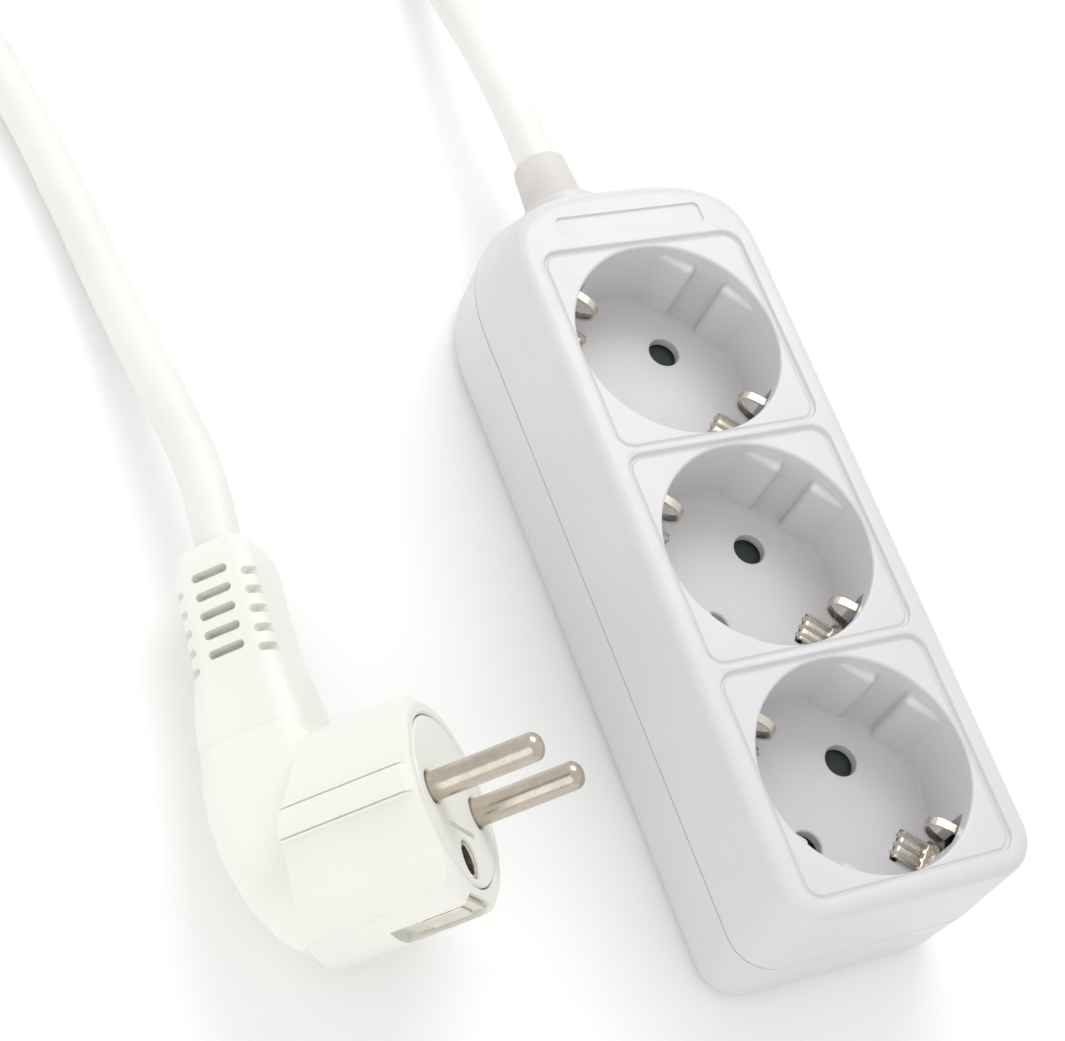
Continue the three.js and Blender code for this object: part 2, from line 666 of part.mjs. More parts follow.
function makeBoot() {
  const length = BOOT_END - BOOT_START;
  const section = roundedRectangle(-BOOT_HALF, BOOT_HALF, -BOOT_HALF, BOOT_HALF, 3.6);
  const geometry = new THREE.ExtrudeGeometry(section, { depth: length, bevelEnabled: false, curveSegments: 4 });
  const position = geometry.attributes.position;
  for (let i = 0; i < position.count; i += 1) {
    const taper = position.getZ(i) > length / 2 ? BOOT_END_HALF / BOOT_HALF : 1;
    position.setXY(i, position.getX(i) * taper, position.getY(i) * taper);
  }
  geometry.rotateX(-Math.PI / 2);
  geometry.translate(0, BOOT_START, PLUG_AXIS);
  let boot = toSolid(geometry).subtract(rodAlongY(CORD_RADIUS + GAP, 0, PLUG_AXIS, 0, BOOT_END + 5, 16));
  for (let i = 0; i < BOOT_SLOTS; i += 1) {
    const y = BOOT_SLOT_START + i * BOOT_SLOT_PITCH;
    boot = boot.subtract(box(5.6, 12, y, y + 1.6, PLUG_AXIS - 3.1, PLUG_AXIS + 3.1));
    boot = boot.subtract(box(-12, -5.6, y, y + 1.6, PLUG_AXIS - 3.1, PLUG_AXIS + 3.1));
  }
  return boot;
}

const PLUG_WIRES = {
  plug_live_wire: ['live', [9.5, 0, -8.4], [8.6, 0.8, -14], [4.6, 3, -21.5], [2.2, 10, -26.4],
    [1.9, 17, -27.8], [1.9, BOOT_START - GAP, -27.9]],
  plug_neutral_wire: ['neutral', [-9.5, 0, -8.4], [-8.6, 0.8, -14], [-4.6, 3, -21.5],
    [-2.2, 10, -26.4], [-1.9, 17, -27.8], [-1.9, BOOT_START - GAP, -27.9]],
  plug_earth_wire: ['earth', [0, 1, -12.7], [0, 1.6, -20], [0, 8, -29],
    [0, 17, -30.6], [0, BOOT_START - GAP, -30.7]],
};

// ---------- assembly ----------

const strip = new THREE.Group();
strip.add(part('top_cover', makeTopCover(), materials.shell));
strip.add(part('bottom_shell', makeBottomShell(), materials.shell));
strip.add(part('live_bar', makePoleBar(1), materials.brass));
strip.add(part('neutral_bar', makePoleBar(-1), materials.brass));
strip.add(part('earth_bar', makeEarthBar(), materials.brass));
SOCKETS.forEach((y, i) => {
  strip.add(makeShutter(`shutter_${i + 1}`, y));
  strip.add(makeShutterSpring(`shutter_spring_${i + 1}`, y));
  strip.add(makeEarthClip(`earth_clip_${i + 1}_left`, y, EARTH_DIAGONAL));
  strip.add(makeEarthClip(`earth_clip_${i + 1}_right`, y, EARTH_DIAGONAL + Math.PI));
});
HOUSING_SCREWS.forEach(([x, y], i) => strip.add(makeHousingScrew(`housing_screw_${i + 1}`, x, y)));

strip.add(part('cord_gland', makeGland(), materials.gland));
strip.add(part('cord_tail', rodAlongY(CORD_RADIUS, 0, SEAM, TAIL_START, GLAND_TIP, 16), materials.sheath));
strip.add(part('cord_clamp', makeClamp(), materials.shell));
strip.add(makeClampScrew('clamp_screw_1', CLAMP_SCREW_X));
strip.add(makeClampScrew('clamp_screw_2', -CLAMP_SCREW_X));
for (const [name, [finish, ...points]] of Object.entries(INSIDE_WIRES)) {
  strip.add(part(name, tube(points, 1.1, 8, 8), materials[finish]));
}

const freeLead = new THREE.Group();
const clearOfCoil = post(COIL_OUTSIDE + GAP, ...COIL_CENTRE, -1, COIL_HEIGHT, 48);
const bootEnd = onPlug(0, BOOT_END, PLUG_AXIS);
const bootStart = onPlug(0, BOOT_START + GAP, PLUG_AXIS);
const bootMiddle = onPlug(0, (BOOT_START + BOOT_END) / 2, PLUG_AXIS);
const outerRun = [40, 60, 80, 100, 120, 140, 160, 180].map(outerRunPoint);
const stripLead = tube(STRIP_LEAD, CORD_RADIUS, 12, 8);
const plugLead = tube([...outerRun, ...PLUG_LEAD, bootEnd, bootMiddle, bootStart], CORD_RADIUS, 12, 26);
freeLead.add(part('cord_strip_lead', stripLead.subtract(clearOfCoil), materials.sheath));
freeLead.add(part('cord_coil', makeCoil(), materials.sheath));
freeLead.add(part('cord_plug_lead', plugLead.subtract(clearOfCoil), materials.sheath));
freeLead.add(part('cord_tie', makeTie(), materials.tie));

plugFrame.add(part('plug_body', makePlugBody(), materials.plug));
plugFrame.add(part('plug_boot', makeBoot(), materials.plug));
plugFrame.add(part('pin_carrier', makeCarrier(), materials.plug));
plugFrame.add(makePin('plug_pin_live', PIN_REACH));
plugFrame.add(makePin('plug_pin_neutral', -PIN_REACH));
plugFrame.add(part('plug_earth_frame', makeEarthFrame(), materials.nickel));
plugFrame.add(part('plug_earth_sleeve', makeEarthSleeve(), materials.nickel));
for (const [name, [finish, ...points]] of Object.entries(PLUG_WIRES)) {
  plugFrame.add(part(name, tube(points, 1, 8, 8), materials[finish]));
}

const powerStrip = new THREE.Group();
powerStrip.add(strip, freeLead, plugFrame);

export default powerStrip;
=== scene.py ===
"""A white three-way power strip with its lead and right-angle plug, on a pale studio floor."""
import json
import math

import bmesh
import bpy
from mathutils import Matrix, Vector

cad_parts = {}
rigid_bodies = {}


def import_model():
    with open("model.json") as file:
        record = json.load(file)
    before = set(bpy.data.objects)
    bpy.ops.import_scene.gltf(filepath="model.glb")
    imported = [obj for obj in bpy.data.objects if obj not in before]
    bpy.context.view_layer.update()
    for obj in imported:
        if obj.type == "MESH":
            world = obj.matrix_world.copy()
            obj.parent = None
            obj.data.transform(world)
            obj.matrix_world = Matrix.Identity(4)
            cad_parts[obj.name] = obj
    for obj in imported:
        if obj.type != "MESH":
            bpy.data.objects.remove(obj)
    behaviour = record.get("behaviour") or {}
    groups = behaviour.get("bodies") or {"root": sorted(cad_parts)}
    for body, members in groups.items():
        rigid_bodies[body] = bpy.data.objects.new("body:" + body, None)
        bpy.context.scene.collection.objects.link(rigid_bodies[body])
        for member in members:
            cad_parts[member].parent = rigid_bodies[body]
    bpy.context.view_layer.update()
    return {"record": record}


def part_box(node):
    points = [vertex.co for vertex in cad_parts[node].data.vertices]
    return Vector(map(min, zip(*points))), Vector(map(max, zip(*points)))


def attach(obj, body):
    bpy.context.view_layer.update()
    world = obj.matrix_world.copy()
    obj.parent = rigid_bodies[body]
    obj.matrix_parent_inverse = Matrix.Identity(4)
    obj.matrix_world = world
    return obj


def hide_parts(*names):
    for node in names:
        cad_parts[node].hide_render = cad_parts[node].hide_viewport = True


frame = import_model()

MM = 0.001
BODY = "strip"


# ---------- sizes, in millimetres, read from the frame ----------

def box_mm(node):
    low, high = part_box(node)
    return [v / MM for v in low], [v / MM for v in high]


COVER_LOW, COVER_HIGH = box_mm("top_cover")
GLAND_LOW, GLAND_HIGH = box_mm("cord_gland")
COIL_LOW, COIL_HIGH = box_mm("cord_coil")
HEIGHT = COVER_HIGH[2]
HALF_WIDTH = COVER_HIGH[0]
NEAR_END = COVER_LOW[1]
FAR_END = COVER_HIGH[1]
SEAM = (GLAND_LOW[2] + GLAND_HIGH[2]) / 2
GLAND_TIP = GLAND_HIGH[1]
SOCKETS = [(box_mm(f"shutter_{i}")[0][1] + box_mm(f"shutter_{i}")[1][1]) / 2 for i in (1, 2, 3)]
PITCH = SOCKETS[0] - SOCKETS[1]
GAP = 0.3
WALL = 2.0
ROOF = 2.4
PANEL_DEPTH = 0.6
PANEL_CORNER = 3.4
RECESS_RADIUS = 19.6
RECESS_FLOOR = HEIGHT - 17.5
WELL_RADIUS = 21.3
WELL_FLOOR = 2.0
PIN_REACH = 9.5
CORD_RADIUS = 4.1


# ---------- camera ----------

CAMERA_AT = Vector((-0.22686, -0.16238, 0.38152))
CAMERA_TARGET = Vector((-0.0418, -0.0030, 0.0395))
CAMERA_ROLL = math.radians(33.3)
LENS = 85.5
SENSOR = 36.0


def make_camera():
    data = bpy.data.cameras.new("camera")
    data.lens = LENS
    data.sensor_width = SENSOR
    data.clip_start = 0.01
    camera = bpy.data.objects.new("camera", data)
    forward = (CAMERA_TARGET - CAMERA_AT).normalized()
    level = forward.cross(Vector((0, 0, 1))).normalized()
    upright = level.cross(forward)
    right = level * math.cos(CAMERA_ROLL) + upright * math.sin(CAMERA_ROLL)
    up = right.cross(forward)
    turn = Matrix((right, up, -forward)).transposed()
    camera.matrix_world = Matrix.Translation(CAMERA_AT) @ turn.to_4x4()
    bpy.context.scene.collection.objects.link(camera)
    bpy.context.scene.camera = camera


make_camera()


# ---------- materials ----------

def new_material(name):
    material = bpy.data.materials.new(name)
    material.use_nodes = True
    tree = material.node_tree
    shader = tree.nodes["Principled BSDF"]
    return material, tree, shader


def texture_space(tree, scale=(1, 1, 1)):
    """Object coordinates in metres, multiplied by scale along each axis."""
    place = tree.nodes.new("ShaderNodeTexCoord")
    mapping = tree.nodes.new("ShaderNodeMapping")
    mapping.inputs["Scale"].default_value = scale
    tree.links.new(place.outputs["Object"], mapping.inputs["Vector"])
    return mapping.outputs["Vector"]


def noise(tree, scale, detail=3.0, roughness=0.55, stretch=(1, 1, 1)):
    node = tree.nodes.new("ShaderNodeTexNoise")
    node.inputs["Scale"].default_value = scale
    node.inputs["Detail"].default_value = detail
    node.inputs["Roughness"].default_value = roughness
    tree.links.new(texture_space(tree, stretch), node.inputs["Vector"])
    return node.outputs["Fac"]


def ramp(tree, value, low, high, low_colour, high_colour):
    node = tree.nodes.new("ShaderNodeValToRGB")
    node.color_ramp.elements[0].position = low
    node.color_ramp.elements[1].position = high
    node.color_ramp.elements[0].color = (*low_colour, 1)
    node.color_ramp.elements[1].color = (*high_colour, 1)
    tree.links.new(value, node.inputs["Fac"])
    return node.outputs["Color"]


def spread(tree, value, low, high):
    node = tree.nodes.new("ShaderNodeMapRange")
    node.inputs["From Min"].default_value = 0.3
    node.inputs["From Max"].default_value = 0.7
    node.inputs["To Min"].default_value = low
    node.inputs["To Max"].default_value = high
    tree.links.new(value, node.inputs["Value"])
    return node.outputs["Result"]


def add_bump(tree, shader, height, depth, strength=1.0):
    node = tree.nodes.new("ShaderNodeBump")
    node.inputs["Strength"].default_value = strength
    node.inputs["Distance"].default_value = depth
    tree.links.new(height, node.inputs["Height"])
    tree.links.new(node.outputs["Normal"], shader.inputs["Normal"])


def moulded_plastic(name, colour, shade=0.97, rough=(0.3, 0.4), grain=900, grain_depth=0.00002):
    """Moulded plastic: faint cloudy colour, uneven gloss and a fine grain."""
    material, tree, shader = new_material(name)
    darker = tuple(c * shade for c in colour)
    tree.links.new(ramp(tree, noise(tree, 45, 4), 0.35, 0.65, darker, colour), shader.inputs["Base Color"])
    tree.links.new(spread(tree, noise(tree, 160, 5), *rough), shader.inputs["Roughness"])
    add_bump(tree, shader, noise(tree, grain, 2), grain_depth)
    shader.inputs["IOR"].default_value = 1.5
    return material


def metal(name, colour, shade, rough, stretch=(1, 1, 1), depth=0.00002):
    """Stamped or plated metal: drawn grain, cloudy tarnish and fine scratches."""
    material, tree, shader = new_material(name)
    darker = tuple(c * shade for c in colour)
    tarnish = ramp(tree, noise(tree, 260, 6, 0.65), 0.3, 0.7, darker, colour)
    tree.links.new(tarnish, shader.inputs["Base Color"])
    tree.links.new(spread(tree, noise(tree, 700, 4, 0.6, stretch), *rough), shader.inputs["Roughness"])
    add_bump(tree, shader, noise(tree, 1500, 3, 0.6, stretch), depth)
    shader.inputs["Metallic"].default_value = 1.0
    return material


def sheath_plastic(name, colour):
    """Extruded sheath: slow waviness over the twisted cores, and a satin surface."""
    material, tree, shader = new_material(name)
    darker = tuple(c * 0.955 for c in colour)
    tree.links.new(ramp(tree, noise(tree, 60, 5), 0.35, 0.7, darker, colour), shader.inputs["Base Color"])
    tree.links.new(spread(tree, noise(tree, 220, 4), 0.38, 0.52), shader.inputs["Roughness"])
    add_bump(tree, shader, noise(tree, 130, 3), 0.00025, 0.5)
    return material


def striped_insulation(name, first, second):
    material, tree, shader = new_material(name)
    wave = tree.nodes.new("ShaderNodeTexWave")
    wave.inputs["Scale"].default_value = 260
    wave.inputs["Distortion"].default_value = 0.4
    tree.links.new(texture_space(tree), wave.inputs["Vector"])
    tree.links.new(ramp(tree, wave.outputs["Fac"], 0.48, 0.52, first, second), shader.inputs["Base Color"])
    tree.links.new(spread(tree, noise(tree, 400), 0.35, 0.5), shader.inputs["Roughness"])
    return material


def woven_strap(name, colour):
    """Hook-and-loop strap: a crossed weave under short nap."""
    material, tree, shader = new_material(name)
    darker = tuple(c * 0.4 for c in colour)
    weave = tree.nodes.new("ShaderNodeTexChecker")
    weave.inputs["Scale"].default_value = 1400
    tree.links.new(texture_space(tree), weave.inputs["Vector"])
    tree.links.new(ramp(tree, noise(tree, 900, 5), 0.35, 0.7, darker, colour), shader.inputs["Base Color"])
    tree.links.new(spread(tree, noise(tree, 500), 0.75, 0.95), shader.inputs["Roughness"])
    add_bump(tree, shader, weave.outputs["Fac"], 0.0002, 0.6)
    shader.inputs["Sheen Weight"].default_value = 0.3
    return material


WHITE = (0.70, 0.69, 0.70)
FINISHES = {
    "shell": moulded_plastic("white_shell", WHITE),
    "shutter": moulded_plastic("shutter_plastic", (0.035, 0.05, 0.043), 0.7, (0.4, 0.55)),
    "brass": metal("stamped_brass", (0.72, 0.55, 0.27), 0.75, (0.25, 0.42), (1, 0.1, 1)),
    "nickel": metal("nickel_plate", (0.78, 0.73, 0.63), 0.82, (0.2, 0.34), (1, 1, 0.15)),
    # pin: the nickel made a little warmer and darker for the pins; the darkening is painted shade standing in
    # for the darker reflections on them.
    "pin": metal("pin_nickel_painted_shade", (0.60, 0.54, 0.46), 0.8, (0.16, 0.28), (1, 1, 0.15)),
    "steel": metal("plated_steel", (0.60, 0.60, 0.62), 0.8, (0.25, 0.4)),
    "sheath": sheath_plastic("white_sheath", (0.86, 0.855, 0.82)),
    "gland": moulded_plastic("gland_rubber", (0.70, 0.67, 0.63), 0.9, (0.5, 0.62), 1200, 0.00003),
    "plug": moulded_plastic("plug_pvc", (0.87, 0.87, 0.81), 0.97, (0.34, 0.46), 1100, 0.00003),
    "live": moulded_plastic("brown_insulation", (0.16, 0.06, 0.025), 0.85),
    "neutral": moulded_plastic("blue_insulation", (0.03, 0.10, 0.35), 0.85),
    "earth": striped_insulation("earth_insulation", (0.05, 0.28, 0.05), (0.75, 0.62, 0.04)),
    "tie": woven_strap("tie_strap", (0.05, 0.05, 0.055)),
}


# ---------- mesh work, in millimetres ----------

SLIVER = 0.0005
AXIS_HOLE = 0.02


def split_faces(mesh):
    """Splits every face into triangles, so that a cut leaves only flat faces."""
    work = bmesh.new()
    work.from_mesh(mesh)
    bmesh.ops.triangulate(work, faces=work.faces, quad_method="SHORT_EDGE", ngon_method="BEAUTY")
    work.to_mesh(mesh)
    work.free()


def drop_slivers(mesh):
    """Takes out the faces without area that a row of cuts leaves behind."""
    work = bmesh.new()
    work.from_mesh(mesh)
    bmesh.ops.dissolve_degenerate(work, dist=SLIVER * MM, edges=work.edges)
    bmesh.ops.triangulate(work, faces=work.faces)
    work.to_mesh(mesh)
    work.free()


def make_object(name, points, faces, place=None):
    mesh = bpy.data.meshes.new(name)
    mesh.from_pydata([Vector(p) * MM for p in points], [], faces)
    if place is not None:
        mesh.transform(place)
    split_faces(mesh)
    piece = bpy.data.objects.new(name, mesh)
    bpy.context.scene.collection.objects.link(piece)
    return piece


def loft(name, rings, place=None, closed=False):
    """A solid through rings of equal length that run anticlockwise seen from the last ring."""
    count = len(rings[0])
    points = [p for ring in rings for p in ring]
    faces = []
    pairs = len(rings) if closed else len(rings) - 1
    for i in range(pairs):
        low = i * count
        high = ((i + 1) % len(rings)) * count
        for j in range(count):
            k = (j + 1) % count
            faces.append((low + j, low + k, high + k, high + j))
    if not closed:
        faces.append(tuple(reversed(range(count))))
        faces.append(tuple(range(len(points) - count, len(points))))
    return make_object(name, points, faces, place)


def circle_ring(radius, z, count, x=0.0, y=0.0):
    step = 2 * math.pi / count
    return [(x + radius * math.cos(j * step), y + radius * math.sin(j * step), z) for j in range(count)]


def lathe(name, profile, count=96, x=0.0, y=0.0, place=None):
    """Turns (radius, height) pairs, lowest first, about an upright axis."""
    return loft(name, [circle_ring(max(r, AXIS_HOLE), z, count, x, y) for r, z in profile], place)


def hollow_turn(name, profile, count=64, place=None):
    """Turns a closed (radius, height) outline that doesn't touch the axis."""
    return loft(name, [circle_ring(r, z, count) for r, z in profile], place, closed=True)


def arc(centre_x, centre_y, radius, start, end, steps):
    """Points on an arc, angles in degrees, ends included."""
    points = []
    for i in range(steps + 1):
        angle = math.radians(start + (end - start) * i / steps)
        points.append((centre_x + radius * math.cos(angle), centre_y + radius * math.sin(angle)))
    return points


def rounded_rectangle(x0, x1, y0, y1, corner, steps=6):
    return (arc(x1 - corner, y0 + corner, corner, -90, 0, steps)
            + arc(x1 - corner, y1 - corner, corner, 0, 90, steps)
            + arc(x0 + corner, y1 - corner, corner, 90, 180, steps)
            + arc(x0 + corner, y0 + corner, corner, 180, 270, steps))


def soft_block(name, x0, x1, y0, y1, z0, z1, corner, top=0.0, bottom=0.0, place=None, steps=5):
    """A block with rounded upright corners and rounded top and bottom edges."""
    rings = []
    for inset, z in edge_profile(z0, z1, top, bottom, steps):
        outline = rounded_rectangle(x0 + inset, x1 - inset, y0 + inset, y1 - inset,
                                    max(corner - inset, 0.05), steps)
        rings.append([(x, y, z) for x, y in outline])
    return loft(name, rings, place)


def edge_profile(z0, z1, top, bottom, steps=5):
    """(inset, height) pairs up a wall whose bottom and top edges are rounded."""
    profile = []
    if bottom > 0:
        profile += [(bottom - x, z0 + bottom + y) for x, y in arc(0, 0, bottom, -90, 0, steps)]
    else:
        profile.append((0.0, z0))
    if top > 0:
        profile += [(top - x, z1 - top + y) for x, y in arc(0, 0, top, 0, 90, steps)]
    else:
        profile.append((0.0, z1))
    return profile


def combine(target, others, operation):
    """Joins or cuts target by the other solids, which are used up."""
    for other in others:
        modifier = target.modifiers.new("cut", "BOOLEAN")
        modifier.operation = operation
        modifier.solver = "MANIFOLD"
        modifier.object = other
        graph = bpy.context.evaluated_depsgraph_get()
        mesh = bpy.data.meshes.new_from_object(target.evaluated_get(graph))
        split_faces(mesh)
        target.modifiers.clear()
        old = target.data
        target.data = mesh
        bpy.data.meshes.remove(old)
        bpy.data.objects.remove(other, do_unlink=True)
    return target


def cut(target, *others):
    return combine(target, others, "DIFFERENCE")


def join(target, *others):
    return combine(target, others, "UNION")


def keep_common(target, *others):
    return combine(target, others, "INTERSECT")


def finish_piece(piece, slot, *nodes, body=BODY, angle=32, finish=None):
    """Shades a piece, gives it its material and puts it in place of its CAD nodes.

    The material is the slot's own, unless finish names another.
    """
    drop_slivers(piece.data)
    piece.data.shade_smooth()
    piece.data.set_sharp_from_angle(angle=math.radians(angle))
    weighted = piece.modifiers.new("weighted", "WEIGHTED_NORMAL")
    weighted.keep_sharp = True
    piece.data.materials.clear()
    piece.data.materials.append(FINISHES[finish or slot])
    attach(piece, body)
    if nodes:
        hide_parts(*nodes)
    return piece


# ---------- the lead ----------

COIL_CENTRE = ((COIL_LOW[0] + COIL_HIGH[0]) / 2, (COIL_LOW[1] + COIL_HIGH[1]) / 2)
COIL_RADIUS = 48.5
COIL_STEP = 4.2
LOW_RUN = CORD_RADIUS
HIGH_RUN = 12.45
INNER_RUN = COIL_RADIUS - COIL_STEP
MIDDLE_RUN = COIL_RADIUS + COIL_STEP
OUTER_RUN = COIL_RADIUS + 13.0

STRIP_LEAD = [
    (0, 72, 17.5), (0, 81.7, 17.5), (0, 97, 17.2), (0.1, 112, 15.2), (0.5, 128, 11.3),
    (1.5, 145, 7), (3.2, 162, 4.6), (5.2, 179, 4.1), (6.9, 193.5, 4.1),
]
PLUG_LEAD = [
    (-105.8, 193, 4.1), (-104.1, 176.5, 4.1), (-100.8, 159.5, 4.1), (-96.7, 142, 4.1),
    (-92.9, 125, 4.1), (-90, 109, 4.1), (-88, 93, 4.1), (-86.6, 77, 4.7), (-85.5, 61, 6.7),
    (-84.6, 46, 9.4), (-84, 31, 11.6),
]
# Each stretch of the coil: where it ends, in degrees from the start, and the radius and height there.
COIL_STRETCHES = [
    (0, MIDDLE_RUN, LOW_RUN), (245, MIDDLE_RUN, LOW_RUN), (335, INNER_RUN, LOW_RUN),
    (585, INNER_RUN, LOW_RUN), (655, INNER_RUN, HIGH_RUN), (910, INNER_RUN, HIGH_RUN),
    (1000, MIDDLE_RUN, HIGH_RUN), (1070, MIDDLE_RUN, HIGH_RUN), (1130, OUTER_RUN, LOW_RUN),
    (1260, OUTER_RUN, LOW_RUN),
]
COIL_END = 1260
TIE_ANGLE = 250
STRAP_LIFT = 0.8


def coil_point(degrees):
    """The lead's centre on the coil, that many degrees after it joins the coil."""
    for (start, r0, z0), (end, r1, z1) in zip(COIL_STRETCHES, COIL_STRETCHES[1:]):
        if degrees <= end:
            break
    t = (degrees - start) / (end - start)
    t = t * t * (3 - 2 * t)
    radius = r0 + (r1 - r0) * t
    height = z0 + (z1 - z0) * t
    if r1 == OUTER_RUN and r0 == MIDDLE_RUN:
        # here it rolls down over the turn below it
        roll = math.radians(90 * (1 - t))
        radius = r0 + (r1 - r0) * math.cos(roll)
        height = z1 + (z0 - z1) * math.sin(roll)
    from_tie = abs((degrees - TIE_ANGLE + 180) % 360 - 180)
    height += STRAP_LIFT * max(0.0, min(1.0, (40 - from_tie) / 25))
    angle = math.radians(degrees)
    return (COIL_CENTRE[0] + radius * math.cos(angle), COIL_CENTRE[1] + radius * math.sin(angle), height)


def plug_place():
    """The plug's own frame: face at z = 0, pins along +Z, lead along +Y."""
    mount = next(m for m in frame["record"]["mounts"] if m["name"] == "plug_face")
    axis = Vector(mount["axis"])
    tilt = math.acos(axis.z)
    yaw = math.atan2(axis.y, axis.x)
    turn = Matrix.Rotation(yaw, 4, "Z") @ Matrix.Rotation(tilt, 4, "Y")
    point_on_face = Vector((0, 5 * MM, 0))
    return Matrix.Translation(Vector(mount["pos_m"]) - turn @ point_on_face) @ turn


PLUG = plug_place()
PLUG_AXIS = -28.5
BOOT_START = 20.6
BOOT_END = 57.0
BOOT_SLOTS = 5
BOOT_SLOT_START = 36
BOOT_SLOT_PITCH = 3.57


def on_plug(x, y, z):
    point = PLUG @ (Vector((x, y, z)) * MM)
    return tuple(v / MM for v in point)


def make_lead():
    route = list(STRIP_LEAD)
    route += [coil_point(degrees) for degrees in range(0, COIL_END + 1, 15)]
    route += PLUG_LEAD
    route += [on_plug(0, y, PLUG_AXIS) for y in (BOOT_END, BOOT_END - 12, BOOT_END - 24)]
    data = bpy.data.curves.new("mains_lead", "CURVE")
    data.dimensions = "3D"
    data.bevel_depth = CORD_RADIUS * MM
    data.bevel_resolution = 7
    data.resolution_u = 8
    data.use_fill_caps = True
    spline = data.splines.new("BEZIER")
    spline.bezier_points.add(len(route) - 1)
    for bezier, point in zip(spline.bezier_points, route):
        bezier.co = Vector(point) * MM
        bezier.handle_left_type = "AUTO"
        bezier.handle_right_type = "AUTO"
    lead = bpy.data.objects.new("mains_lead", data)
    bpy.context.scene.collection.objects.link(lead)
    data.materials.append(FINISHES["sheath"])
    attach(lead, BODY)
    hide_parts("cord_strip_lead", "cord_coil", "cord_plug_lead")
    return lead


lead = make_lead()


# ---------- housing ----------

TOP_EDGE = 2.2
BOTTOM_EDGE = 3.5
NEAR_CORNER = 7.5
SIDE_TAPER = (0.7, 0.3)
NEAR_TAPER = (0.6, 0.4)
FAR_TAPER = (0.6, 10.5)
FAR_TAPER_POWER = 1.15
FAR_BEND = 44
FAR_BEND_DROP = 2.5
FAR_ROUNDNESS = 2.35
FAR_STEPS = 40
SIDE_STEPS = 8
FLOOR = 2.4
RECESS_TAPER = 0.15
PAD_CHORD = 16.8
PAD_INNER = 3.0
PAD_OUTER = 12
PAD_DROP = 3
LABEL_DEPTH = 0.45
LABEL_HALF = 15
LABEL_NEAR = 50.6
LABEL_FAR = 55.2
GLAND_HOLE_RADIUS = 5
CLAMP_Y = 58
CLAMP_SCREW_X = 8
PILOT_RADIUS = 1.5
COVER_START = SEAM + GAP / 2
SHELL_TOP = SEAM - GAP / 2


def housing_ring(z, inset=0.0):
    """The housing's plan outline at a height, as 3-D points. Each taper is (below, above) the seam."""
    above = max(z - SEAM, 0) / (HEIGHT - SEAM)
    below = max(SEAM - z, 0) / SEAM
    half = HALF_WIDTH - SIDE_TAPER[1] * above - SIDE_TAPER[0] * below - inset
    near = NEAR_END + NEAR_TAPER[1] * above + NEAR_TAPER[0] * below + inset
    far = FAR_END - FAR_TAPER[1] * above ** FAR_TAPER_POWER - FAR_TAPER[0] * below - inset
    straight_to = FAR_BEND - FAR_BEND_DROP * above ** 2
    power = FAR_ROUNDNESS + above ** 2
    corner = max(NEAR_CORNER - inset, 0.5)
    ring = arc(-half + corner, near + corner, corner, 180, 270, 10)
    ring += arc(half - corner, near + corner, corner, 270, 360, 10)
    side = [near + corner + (straight_to - near - corner) * i / SIDE_STEPS for i in range(1, SIDE_STEPS)]
    ring += [(half, y) for y in side]
    for i in range(FAR_STEPS + 1):
        angle = math.pi * i / FAR_STEPS
        x = half * math.copysign(abs(math.cos(angle)) ** (2 / power), math.cos(angle))
        ring.append((x, straight_to + (far - straight_to) * math.sin(angle) ** (2 / power)))
    ring += [(-half, y) for y in reversed(side)]
    return [(x, y, z) for x, y in ring]


def housing_block(name, z0, z1, inset=0.0, top=0.0, bottom=0.0, levels=14):
    """A solid with the housing's outline between two heights, its edges rounded."""
    rings = []
    profile = edge_profile(z0, z1, top, bottom, 7)
    low_half = [p for p in profile if p[1] < (z0 + z1) / 2]
    high_half = profile[len(low_half):]
    start, end = low_half[-1][1], high_half[0][1]
    middle = [(0.0, start + (end - start) * i / levels) for i in range(1, levels)]
    for extra, z in low_half + middle + high_half:
        rings.append(housing_ring(z, inset + extra))
    return loft(name, rings)


def upright_cylinder(name, radius, z0, z1, x, y, count=32):
    return lathe(name, [(radius, z0), (radius, z1)], count, x, y)


def level_cylinder(name, radius, x, z, y0, y1, count=48):
    """A cylinder along Y."""
    rings = []
    for y in (y0, y1):
        rings.append([(x + px, y, z + pz) for px, pz, _ in circle_ring(radius, 0, count)])
    return loft(name, rings)


def recess_cutter(y):
    """The space in a recess: a flared rim, a slight taper and a small curve into the floor."""
    panel = HEIGHT - PANEL_DEPTH
    rim, foot = 0.55, 0.2
    wall = RECESS_RADIUS - RECESS_TAPER
    low = [(0.0, RECESS_FLOOR), (wall - foot, RECESS_FLOOR)]
    low += [(wall + x, RECESS_FLOOR + foot + z) for x, z in arc(-foot, 0, foot, -90, 0, 5)][1:]
    high = [(RECESS_RADIUS + rim - x, panel - rim + z) for x, z in arc(0, 0, rim, 0, 90, 8)]
    return lathe("recess", low + high + [(RECESS_RADIUS + rim, HEIGHT + 1)], 128, 0, y)


def panel_cutter(y):
    """A sunk square panel bordered by a shallow groove, with a soft rim."""
    half = PITCH / 2 - 0.62
    floor = HEIGHT - PANEL_DEPTH
    groove = floor - 0.28
    rings = []
    for grow, z in ((-1.05, floor), (-0.9, floor - 0.03), (-0.72, groove + 0.08), (-0.55, groove),
                    (-0.3, groove), (-0.1, groove + 0.1), (0, groove + 0.3), (0.04, HEIGHT - 0.3),
                    (0.16, HEIGHT - 0.09), (0.42, HEIGHT), (0.42, HEIGHT + 1)):
        reach = half + grow
        outline = rounded_rectangle(-reach, reach, y - reach, y + reach, PANEL_CORNER + grow, 8)
        rings.append([(px, py, z) for px, py in outline])
    return loft("panel", rings)


def turn_about(angle, y):
    """Turns a solid made along +X onto a socket's diagonal."""
    return Matrix.Translation((0, y * MM, 0)) @ Matrix.Rotation(math.radians(angle), 4, "Z")


